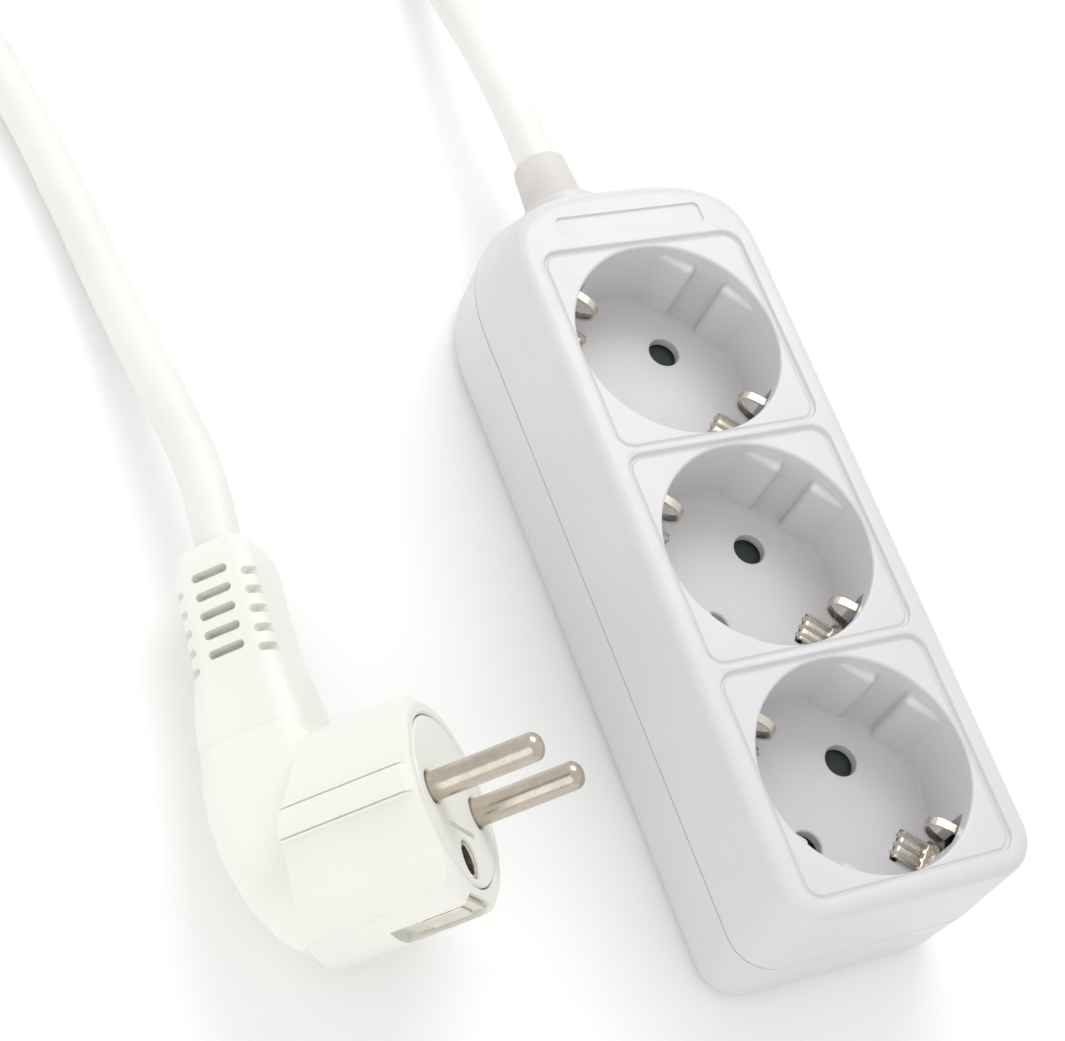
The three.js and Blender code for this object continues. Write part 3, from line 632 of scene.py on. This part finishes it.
def guide_pad(angle, y, side):
    """One of the flat lobes on the recess wall that the plug's flanks slide between."""
    low, high = sorted((side * PAD_INNER, side * PAD_OUTER))
    return soft_block("pad", PAD_CHORD, 22, low, high, RECESS_FLOOR - 1, HEIGHT - PAD_DROP, 1.1, top=1.1,
                      place=turn_about(angle, y))


PIN_DIAGONALS = (45, 225)
EARTH_DIAGONALS = (135, 315)
SLOT_HALF = 3.3


def earth_slot(angle, y):
    """The upright slot in the recess wall that an earth clip stands in."""
    return soft_block("slot", 18.9, 22.6, -SLOT_HALF, SLOT_HALF, RECESS_FLOOR, 35.6, 0.5, top=0.5,
                      place=turn_about(angle, y), steps=3)


def floor_slot(angle, y):
    """The slot in the recess floor that the clip rises through."""
    return soft_block("floor_slot", 14.05, 15.5, -SLOT_HALF, SLOT_HALF, RECESS_FLOOR - 3,
                      RECESS_FLOOR + 0.5, 0.4, place=turn_about(angle, y), steps=3)


def pin_hole(y, side):
    """A pin hole through a recess floor, its mouth flared."""
    reach = side * PIN_REACH * math.sqrt(0.5)
    profile = [(2.9, RECESS_FLOOR - 3), (2.9, RECESS_FLOOR - 0.5), (3.0, RECESS_FLOOR - 0.2),
               (3.25, RECESS_FLOOR), (3.25, RECESS_FLOOR + 0.3)]
    return lathe("pin_hole", profile, 40, reach, y + reach)


def screw_places():
    """The six housing screws' axes, from their CAD nodes."""
    places = []
    for i in range(1, 7):
        low, high = box_mm(f"housing_screw_{i}")
        places.append(((low[0] + high[0]) / 2, (low[1] + high[1]) / 2))
    return places


def collar_boss():
    """The round seat for the gland's collar on the far end wall."""
    rings = []
    for radius, y in ((8, FAR_END - 12), (8, FAR_END - 0.6), (7.8, FAR_END - 0.15), (7.3, FAR_END + 0.02)):
        rings.append([(x, y, SEAM + z) for x, z, _ in reversed(circle_ring(radius, 0, 64))])
    return loft("boss", rings)


def gland_hole():
    return level_cylinder("gland_hole", GLAND_HOLE_RADIUS, 0, SEAM, FAR_END - 8, FAR_END + 4)


def make_top_cover():
    cover = housing_block("white_top_cover", COVER_START, HEIGHT, top=TOP_EDGE, bottom=0.2)
    boss = collar_boss()
    cut(boss, soft_block("below_seam", -20, 20, 40, 90, 0, COVER_START, 1))
    wells = [upright_cylinder("well", WELL_RADIUS, RECESS_FLOOR - WELL_FLOOR, HEIGHT - 1.5, 0, y, 96)
             for y in SOCKETS]
    posts = [upright_cylinder("post", 3, 7, HEIGHT - 1.5, x, y) for x, y in screw_places()]
    join(cover, boss)
    cut(cover, housing_block("hollow", COVER_START - 1, HEIGHT - ROOF, inset=WALL))
    join(cover, *wells, *posts)
    cut(cover, *[upright_cylinder("pilot", PILOT_RADIUS, 6, 20, x, y, 20) for x, y in screw_places()])
    cut(cover, *[panel_cutter(y) for y in SOCKETS])
    cut(cover, *[recess_cutter(y) for y in SOCKETS])
    pads = []
    for y in SOCKETS:
        for angle in PIN_DIAGONALS:
            for side in (1, -1):
                pad = guide_pad(angle, y, side)
                keep_common(pad, upright_cylinder("limit", RECESS_RADIUS + 0.6, 0, HEIGHT, 0, y, 96))
                pads.append(pad)
    join(cover, *pads)
    cut(cover, *[pin_hole(y, side) for y in SOCKETS for side in (1, -1)])
    cut(cover, *[earth_slot(angle, y) for y in SOCKETS for angle in EARTH_DIAGONALS])
    cut(cover, *[floor_slot(angle, y) for y in SOCKETS for angle in EARTH_DIAGONALS])
    join(cover, *[upright_cylinder("pivot", 1.5, 15.2, RECESS_FLOOR - 1, 0, y, 24) for y in SOCKETS])
    cut(cover, soft_block("label", -LABEL_HALF, LABEL_HALF, LABEL_NEAR, LABEL_FAR, HEIGHT - LABEL_DEPTH,
                          HEIGHT + 1, 1.2, bottom=0.3))
    cut(cover, gland_hole())
    return finish_piece(cover, "shell", "top_cover")


def make_bottom_shell():
    shell = housing_block("white_bottom_shell", 0, SHELL_TOP, bottom=BOTTOM_EDGE, top=0.2)
    boss = collar_boss()
    cut(boss, soft_block("above_seam", -20, 20, 40, 90, SHELL_TOP, HEIGHT, 1))
    join(shell, boss)
    cut(shell, housing_block("hollow", FLOOR, HEIGHT - 8, inset=WALL))
    lip = housing_block("lip", SHELL_TOP - 2.4, SEAM + 2, inset=WALL + GAP, top=0.4)
    join(lip, housing_block("lip_root", SHELL_TOP - 2.4, SHELL_TOP - 0.3, inset=WALL - 0.5))
    cut(lip, housing_block("lip_hollow", 0, HEIGHT - 8, inset=WALL + 1.3))
    join(shell, lip)
    join(shell, *[upright_cylinder("boss", 4, 1, 6.7, x, y) for x, y in screw_places()])
    cut(shell, *[upright_cylinder("shank_hole", PILOT_RADIUS, -1, 8, x, y, 24) for x, y in screw_places()])
    wells = [(3.55, -1), (3.55, 0), (3.3, 0.35), (3.3, 4)]
    cut(shell, *[lathe("screw_well", wells, 40, x, y) for x, y in screw_places()])
    middle = SOCKETS[1]
    for y in (middle - PITCH / 2, middle + PITCH / 2, 42.5):
        join(shell, soft_block("cross_rib", -11.8, 11.8, y - 1, y + 1, 1.5, 3.1, 0.2))
        join(shell, soft_block("bar_rib", -1.2, 1.2, y - 1, y + 1, 1.5, 14, 0.3))
    saddle = soft_block("saddle", -11, 11, CLAMP_Y - 2.5, CLAMP_Y + 2.5, 1.5, SEAM + 4, 0.6)
    cut(saddle, level_cylinder("seat", CORD_RADIUS + GAP, 0, SEAM, 50, 65))
    cut(saddle, soft_block("trough", -4.4, 4.4, 50, 65, SEAM, SEAM + 9, 0.1))
    cut(saddle, *[upright_cylinder("clamp_pilot", PILOT_RADIUS, 11, 30, x, CLAMP_Y, 20)
                  for x in (-CLAMP_SCREW_X, CLAMP_SCREW_X)])
    join(shell, saddle)
    cut(shell, gland_hole())
    cut(shell, soft_block("label", -16, 16, middle - 11, middle + 11, -1, 0.4, 2, top=0.2))
    return finish_piece(shell, "shell", "bottom_shell")


def make_screw(name, node, x, y, head_low, head_high, tip, head_up, head_radius):
    """A pan-head screw with a cross recess; head_up is 1 where the head is its upper end."""
    low, high = (tip, head_high) if head_up > 0 else (head_low, tip)
    dome = [(head_radius, 0.0), (head_radius, 0.7), (head_radius * 0.86, 1.25), (head_radius * 0.5, 1.62),
            (0.02, 1.75)]
    if head_up > 0:
        profile = [(0.02, low), (0.5, low + 0.1), (1.15, low + 1.6), (1.15, head_low)]
        profile += [(r, head_low + z) for r, z in dome]
    else:
        profile = [(r, head_high - z) for r, z in reversed(dome)]
        profile += [(1.15, head_high), (1.15, high - 1.6), (0.5, high - 0.1), (0.02, high)]
    screw = lathe(name, profile, 32, x, y)
    face = head_high if head_up > 0 else head_low
    depth = 1.2
    z0, z1 = (face - depth, face + 1) if head_up > 0 else (face - 1, face + depth)
    for wide, deep in ((1.9, 0.32), (0.32, 1.9)):
        cut(screw, soft_block("cross", x - wide, x + wide, y - deep, y + deep, z0, z1, 0.1, steps=2))
    return finish_piece(screw, "steel", node)


# ---------- clips, shutters ----------

CLIP_FOOT = 15.5
CLIP_LINE = [
    (17.3, CLIP_FOOT), (14.5, CLIP_FOOT), (14.5, 16.2), (14.5, 22.6), (19.3, 22.6), (20.3, 23.4),
    (20.6, 27.6), (19.9, 29), (16.4, 30.1), (15, 31.6), (15, 33.2), (16.4, 34.6), (19.6, 34.9), (20.4, 34.5),
]
CLIP_THICKNESS = 0.6
CLIP_HALF = 2.8
HEAD_HALF = 0.8
HEAD_START = 27.6
HEAD_BLEND = 2.4
RIB_FLAT = (22.03, 23.6)
RIB_END = 19.6
RIB_LIFT = 0.62
RIB_PITCH = 1.85


def rounded_line(points, reach, steps=5):
    """Rounds each inner corner of an open line, starting reach before it."""
    line = [Vector(points[0])]
    for before, corner, after in zip(points, points[1:], points[2:]):
        before, corner, after = Vector(before), Vector(corner), Vector(after)
        cut_in = min(reach, (corner - before).length / 2, (after - corner).length / 2)
        start = corner + (before - corner).normalized() * cut_in
        end = corner + (after - corner).normalized() * cut_in
        for i in range(steps + 1):
            t = i / steps
            line.append(start * (1 - t) ** 2 + corner * 2 * t * (1 - t) + end * t * t)
    line.append(Vector(points[-1]))
    return line


def clip_half_width(z):
    """The strip is widest over the recess floor and narrow on its sprung head."""
    blend = max(0.0, min(1.0, (HEAD_START - z) / HEAD_BLEND))
    return HEAD_HALF + (CLIP_HALF - HEAD_HALF) * blend


def rib_lift(radius, z, across):
    """Three ribs pressed along the flat of the strip that lies on the recess floor."""
    if not RIB_FLAT[0] < z < RIB_FLAT[1] or radius > RIB_END:
        return 0.0
    fade = min(1.0, (RIB_END - radius) / 0.5)
    return RIB_LIFT * fade * max(0.0, math.cos(across * 2 * math.pi / RIB_PITCH)) ** 1.3


def make_earth_clip(index, side, y, angle):
    name = f"earth_clip_{index}_{side}"
    line = rounded_line(CLIP_LINE[:6], 0.55)[:-1] + rounded_line(CLIP_LINE[4:], 1.1)[1:]
    across_steps = 22
    rings = []
    for i, point in enumerate(line):
        before = line[max(i - 1, 0)]
        after = line[min(i + 1, len(line) - 1)]
        along = (after - before).normalized()
        normal = Vector((-along.y, along.x))
        half = clip_half_width(point.y)
        thick = CLIP_THICKNESS / 2
        ring = []
        for j in range(across_steps + 1):
            across = -half + 2 * half * j / across_steps
            edge = 0.75 if j in (0, across_steps) else 1
            outside = point + normal * (thick * edge + rib_lift(point.x, point.y, across))
            ring.append((outside.x, across, outside.y))
        for j in range(across_steps, -1, -1):
            across = -half + 2 * half * j / across_steps
            edge = 0.75 if j in (0, across_steps) else 1
            inside = point - normal * thick * edge + normal * rib_lift(point.x, point.y, across) * 0.8
            ring.append((inside.x, across, inside.y))
        rings.append(ring)
    clip = loft("formed_" + name, rings, place=turn_about(angle, y))
    return finish_piece(clip, "nickel", name, body=name, angle=40)


SHUTTER_DROP = 2.6
SHUTTER_REACH = 12.9
SHUTTER_HUB = 4.2
SHUTTER_HALF_ANGLE = 20


def make_shutter(index, y):
    """A turning shutter: a hub and two wings with bevelled rims."""
    name = f"shutter_{index}"
    top, thick, chamfer = RECESS_FLOOR - SHUTTER_DROP, 2.0, 0.25
    outline = []
    for middle in PIN_DIAGONALS:
        end = middle + SHUTTER_HALF_ANGLE
        next_start = middle + 180 - SHUTTER_HALF_ANGLE
        outline += arc(0, 0, SHUTTER_REACH, middle - SHUTTER_HALF_ANGLE, end, 12)
        outline += arc(0, 0, SHUTTER_HUB, end, next_start, 14)
    rings = []
    for shrink, z in ((chamfer, top - thick), (0, top - thick + chamfer), (0, top - chamfer), (chamfer, top)):
        rings.append([(px * (1 - shrink / math.hypot(px, py)), y + py * (1 - shrink / math.hypot(px, py)), z)
                      for px, py in outline])
    shutter = loft("turning_" + name, rings)
    cut(shutter, upright_cylinder("bore", 1.8, top - 5, top + 2, 0, y, 32))
    return finish_piece(shutter, "shutter", name, body=name)


# ---------- gland and tie ----------

def make_gland():
    """The soft sleeve that the lead leaves through, with its collar and tapered nose."""
    inside = FAR_END - ROOF - 2.9
    bore = CORD_RADIUS + 0.02
    profile = [(bore, inside - 1.5), (6.6, inside - 1.5), (6.6, inside), (4.7, inside), (4.7, FAR_END + 0.3),
               (6.4, FAR_END + 0.3), (6.6, FAR_END + 0.5), (6.55, FAR_END + 1.1), (6.2, FAR_END + 1.6),
               (5.9, FAR_END + 1.9), (5.75, FAR_END + 2.5), (5.5, FAR_END + 6), (5.25, GLAND_TIP - 0.9),
               (5.15, GLAND_TIP - 0.4), (4.85, GLAND_TIP - 0.1), (4.5, GLAND_TIP), (bore, GLAND_TIP - 0.05)]
    to_lead = Matrix.Translation((0, 0, SEAM * MM)) @ Matrix.Rotation(math.radians(-90), 4, "X")
    gland = hollow_turn("soft_gland", profile, 72, place=to_lead)
    return finish_piece(gland, "gland", "cord_gland")


def make_tie():
    """A strap round the coil, closed on itself with an overlapping end."""
    low, high = COIL_RADIUS - COIL_STEP - CORD_RADIUS, COIL_RADIUS + COIL_STEP + CORD_RADIUS
    top = HIGH_RUN + CORD_RADIUS
    centre = (COIL_CENTRE[0] * MM, COIL_CENTRE[1] * MM, 0)
    place = Matrix.Translation(centre) @ Matrix.Rotation(math.radians(TIE_ANGLE), 4, "Z")
    outline = rounded_rectangle(low - 0.1, high + 0.1, 0.7, top + STRAP_LIFT + 0.1, 3.4, 8)
    start, overlap = 13, 9
    outline = outline[start:] + outline[:start]
    line = outline + outline[:overlap]
    width = 8.4
    rings = []
    for i, (px, pz) in enumerate(line):
        qx, qz = line[(i + 1) % len(line)] if i + 1 < len(line) else line[i - 1]
        along = Vector((qx - px, qz - pz)).normalized() * (1 if i + 1 < len(line) else -1)
        out = Vector((along.y, -along.x))
        rise = 0.35 + 0.8 * max(0.0, min(1.0, (i - len(outline) + 2) / 2))
        ring = []
        for side, depth in ((-1, -0.35), (1, -0.35), (1, 0.35), (-1, 0.35)):
            ring.append((px + out.x * (rise + depth), side * width / 2, pz + out.y * (rise + depth)))
        rings.append(ring)
    tie = loft("coil_strap", rings, place=place)
    return finish_piece(tie, "tie", "cord_tie")


# ---------- plug ----------

PLUG_RADIUS = 18.5
PIN_RADIUS = 2.4
PIN_LENGTH = 19.0
PIN_DOME = 1.9
GRIP_ANGLE = 27.6
GRIP_FLAT = 16.3
GRIP_SPAN = 5.9
RIB_LINE_Y = 2.35
RIB_LINE_HALF = 0.17
RIB_LINE_FLOOR = 17.1125


def plug_section(y, half_x, z0, z1, corner):
    return [(x, y, z) for x, z in rounded_rectangle(-half_x, half_x, z0, z1, corner, 8)]


def plug_box(name, *sides, corner=0.3, **edges):
    return soft_block(name, *sides, corner, place=PLUG, **edges)


def below_rest():
    """Everything under the surface that the plug rests on."""
    return soft_block("ground", -200, 100, -200, 100, -60, 0, 1)


def grip_flat(x_side, y_side):
    """What a flat takes off the plug's rim, beside the narrow rib on that side."""
    half_turn = 0 if x_side > 0 else 180
    turn = x_side * y_side
    low, high = sorted((-GRIP_SPAN * turn, 10 * turn))
    return soft_block("flat", GRIP_FLAT, 26, low, high, -32, 2, 0.25,
                      place=PLUG @ Matrix.Rotation(math.radians(half_turn + GRIP_ANGLE * turn), 4, "Z"))


def rib_line(x_side, y_side):
    """The thin groove along one edge of a rib."""
    xs = sorted((x_side * PLUG_RADIUS, x_side * RIB_LINE_FLOOR))
    y = y_side * RIB_LINE_Y
    return plug_box("rib_line", *xs, y - RIB_LINE_HALF, y + RIB_LINE_HALF, -32, 2, corner=0.05)


def make_plug_body():
    disc = lathe("moulded_plug_body", [(16.9, -29), (18.1, -28.6), (PLUG_RADIUS, -27.6), (PLUG_RADIUS, -1.9),
                                       (18.3, -1.3), (16.9, -0.2), (16.4, 0)], 128, place=PLUG)
    slant = plug_box("slant", -40, 40, -60, 60, -70, 0)
    tip = Matrix.Translation((0, 0, -22.8 * MM)) @ Matrix.Rotation(math.radians(13.3), 4, "X")
    slant.data.transform(PLUG @ tip @ PLUG.inverted())
    cut(disc, slant)
    for x_side, y_side in ((1, 1), (-1, 1), (-1, -1), (1, -1)):
        cut(disc, grip_flat(x_side, y_side))
        cut(disc, rib_line(x_side, y_side))
    sections = [(-16.6, 9, -28.5, -12, 3), (-14, 11.5, -31, -12, 4), (-8, 13.2, -34.2, -12, 5),
                (0, 13.6, -36.8, -12, 5.5), (8, 12.6, -38.2, -13, 5.5), (14, 11.2, -38.4, -16, 5),
                (18, 9.9, -38.1, -18.8, 4.4), (BOOT_START - 0.02, 9.5, -38, -19, 4.2)]
    back = loft("back", [plug_section(*section) for section in sections], place=PLUG)
    join(disc, back)
    for side in (1, -1):
        ys = sorted((side * 16.3, side * 21))
        cut(disc, plug_box("earth_notch", -4.3, 4.3, *ys, -14.5, 2, corner=0.3))
    cut(disc, lathe("carrier_seat", [(14.8, -8.3), (14.8, -0.3), (15.1, 0), (15.1, 2)], 96, place=PLUG))
    cut(disc, plug_box("earth_channel", -4.3, 4.3, -17.6, 17.6, -13, -7))
    cut(disc, plug_box("wire_room", -10.5, 10.5, -4, 7, -27, -7))
    cut(disc, plug_box("wire_way", -4.6, 4.6, 0, BOOT_START + 2, -33, -22))
    cut(disc, below_rest())
    return finish_piece(disc, "plug", "plug_body", angle=28)


def boot_section(y, half, corner):
    return [(x, y, PLUG_AXIS + z) for x, z in rounded_rectangle(-half, half, -half, half, corner, 8)]


def boot_slot(x0, x1, y, z0, z1):
    """A round-ended slot sunk into the boot along the plug's X."""
    half = 0.8
    rings = [[(x, py, pz) for py, pz in rounded_rectangle(y - half, y + half, z0, z1, half - 0.02, 6)]
             for x in sorted((x0, x1))]
    return loft("slot", rings, place=PLUG)


def make_plug_boot():
    sections = [(BOOT_START, 9.5, 4.2), (24, 9.35, 4.1), (30, 8.6, 3.8), (33, 8.0, 3.6), (36, 7.75, 3.5),
                (44, 7.6, 3.4), (51, 7.5, 3.3), (53.5, 7.3, 3.2), (55.6, 6.6, 3.0), (56.7, 5.8, 2.7),
                (BOOT_END, 5.3, 2.5)]
    boot = loft("slotted_plug_boot", [boot_section(*section) for section in sections], place=PLUG)
    rings = [[(x, y, PLUG_AXIS + z) for x, z, _ in circle_ring(CORD_RADIUS + grow, 0, 48)]
             for y, grow in ((BOOT_START - 1, 0.05), (BOOT_END - 0.6, 0.05), (BOOT_END + 1, 0.9))]
    cut(boot, loft("lead_way", rings, place=PLUG))
    for i in range(BOOT_SLOTS):
        y = BOOT_SLOT_START + BOOT_SLOT_PITCH * i
        for side in (1, -1):
            cut(boot, boot_slot(side * 4.7, side * 9, y, PLUG_AXIS - 3.3, PLUG_AXIS + 3.3))
            for z in (PLUG_AXIS + 6.9, PLUG_AXIS - 6.9):
                cut(boot, boot_slot(side * 4.7, side * 9, y - 1.75, z - 1.5, z + 1.5))
    return finish_piece(boot, "plug", "plug_boot")


def make_pin_carrier():
    carrier = lathe("pin_carrier_disc", [(14.5, -8), (14.5, -0.35), (14.2, 0)], 96, place=PLUG)
    cut(carrier, *[lathe("pin_way", [(2.7, -20), (2.7, -0.3), (3.0, 0), (3.0, 3)], 40, x, 0, place=PLUG)
                   for x in (-PIN_REACH, PIN_REACH)])
    cut(carrier, lathe("sleeve_way", [(3.3, -20), (3.3, -0.3), (3.5, 0), (3.5, 3)], 40, 0, -10, place=PLUG))
    cut(carrier, plug_box("relief", -5.2, 5.2, -5.6, -4.6, -1.2, 2, corner=0.4))
    return finish_piece(carrier, "plug", "pin_carrier")


def make_plug_pin(name, node, x):
    """A round pin with a domed tip."""
    shoulder = PIN_LENGTH - PIN_DOME
    profile = [(PIN_RADIUS, -8), (PIN_RADIUS, shoulder)]
    profile += [(PIN_RADIUS * math.cos(a) ** 0.8, shoulder + PIN_DOME * math.sin(a))
                for a in [math.radians(10 * i) for i in range(1, 9)]]
    profile.append((AXIS_HOLE, PIN_LENGTH))
    pin = lathe(name, profile, 48, x, 0, place=PLUG)
    # The pins take the darker pin nickel, whose darkening is painted shade for their darker reflections.
    return finish_piece(pin, "nickel", node, finish="pin")


def make_plug_earth():
    """The bow that joins the two side contacts, each with a raised rib."""
    bow = plug_box("earth_bow", -3.2, 3.2, -17.4, 17.4, -12.4, -11.6, corner=0.2)
    for side in (1, -1):
        ys = sorted((side * 16.6, side * 17.4))
        join(bow, plug_box("side_contact", -3.6, 3.6, *ys, -12.4, -0.8, corner=0.25, top=0.3))
        ribs = sorted((side * 17.2, side * 17.85))
        join(bow, plug_box("contact_rib", -2.4, 2.4, *ribs, -9.5, -2.6, corner=0.3, top=0.4, bottom=0.4))
    return finish_piece(bow, "nickel", "plug_earth_frame")


def make_earth_sleeve():
    profile = [(2.4, -9), (2.55, -11.3), (3, -11.3), (3, -0.7), (2.85, -0.4), (2.55, -0.4), (2.4, -0.7)]
    place = PLUG @ Matrix.Translation((0, -10 * MM, 0))
    sleeve = hollow_turn("earth_sleeve", profile, 48, place=place)
    return finish_piece(sleeve, "nickel", "plug_earth_sleeve")


# ---------- everything together ----------

def finish_cad_nodes():
    """Gives each CAD node that stays the finish of its slot."""
    slots = {row["node"]: row["material_slot"] for row in frame["record"]["subparts"]}
    for node, slot in slots.items():
        piece = bpy.data.objects.get(node)
        if piece is None or piece.type != "MESH":
            continue
        piece.data.materials.clear()
        piece.data.materials.append(FINISHES[slot])


finish_cad_nodes()
make_top_cover()
make_bottom_shell()
for i, (x, y) in enumerate(screw_places(), 1):
    make_screw(f"cross_screw_{i}", f"housing_screw_{i}", x, y, 1.95, 3.7, 17, -1, 2.8)
for i, x in enumerate((CLAMP_SCREW_X, -CLAMP_SCREW_X), 1):
    head = SEAM + 6.9 + GAP
    make_screw(f"clamp_cross_screw_{i}", f"clamp_screw_{i}", x, CLAMP_Y, head, head + 1.6, 12, 1, 2.3)
for i, y in enumerate(SOCKETS, 1):
    make_shutter(i, y)
    for side, angle in zip(("left", "right"), EARTH_DIAGONALS):
        make_earth_clip(i, side, y, angle)
make_gland()
make_tie()
make_plug_body()
make_plug_boot()
make_pin_carrier()
make_plug_pin("round_pin_live", "plug_pin_live", PIN_REACH)
make_plug_pin("round_pin_neutral", "plug_pin_neutral", -PIN_REACH)
make_plug_earth()
make_earth_sleeve()

on_lead = [o for o in bpy.context.scene.objects if o.name in (
    "coil_strap", "moulded_plug_body", "slotted_plug_boot", "pin_carrier_disc", "round_pin_live",
    "round_pin_neutral", "earth_bow", "earth_sleeve", "soft_gland")]
for node in ("plug_live_wire", "plug_neutral_wire", "plug_earth_wire"):
    on_lead.append(bpy.data.objects[node])


# ---------- studio ----------

def make_floor():
    mesh = bpy.data.meshes.new("studio_floor")
    size = 4.0
    mesh.from_pydata([(-size, -size, -0.0002), (size, -size, -0.0002), (size, size, -0.0002),
                      (-size, size, -0.0002)], [], [(0, 1, 2, 3)])
    floor = bpy.data.objects.new("studio_floor", mesh)
    bpy.context.scene.collection.objects.link(floor)
    material, tree, shader = new_material("floor_paper")
    shader.inputs["Base Color"].default_value = (0.98, 0.98, 0.98, 1)
    shader.inputs["Roughness"].default_value = 0.9
    shader.inputs["Specular IOR Level"].default_value = 0.0
    mesh.materials.append(material)


def make_light(name, place, target, size, power, colour=(1, 1, 1)):
    data = bpy.data.lights.new(name, "AREA")
    data.shape = "RECTANGLE"
    data.size, data.size_y = size
    data.energy = power
    data.color = colour
    light = bpy.data.objects.new(name, data)
    light.location = place
    light.rotation_euler = (Vector(target) - Vector(place)).to_track_quat("-Z", "Y").to_euler()
    bpy.context.scene.collection.objects.link(light)


def make_studio():
    world = bpy.data.worlds.new("studio")
    world.use_nodes = True
    background = world.node_tree.nodes["Background"]
    background.inputs["Color"].default_value = (1, 1, 1, 1)
    background.inputs["Strength"].default_value = 0.85
    bpy.context.scene.world = world
    make_light("key_light", (0.2, 0.42, 0.6), (0, 0, 0), (0.5, 0.4), 2.0)
    make_light("fill_light", (-0.9, -0.7, 0.6), (0, 0, 0), (1, 1), 2.4)
    bpy.context.scene.view_settings.view_transform = "Standard"


make_floor()
make_studio()
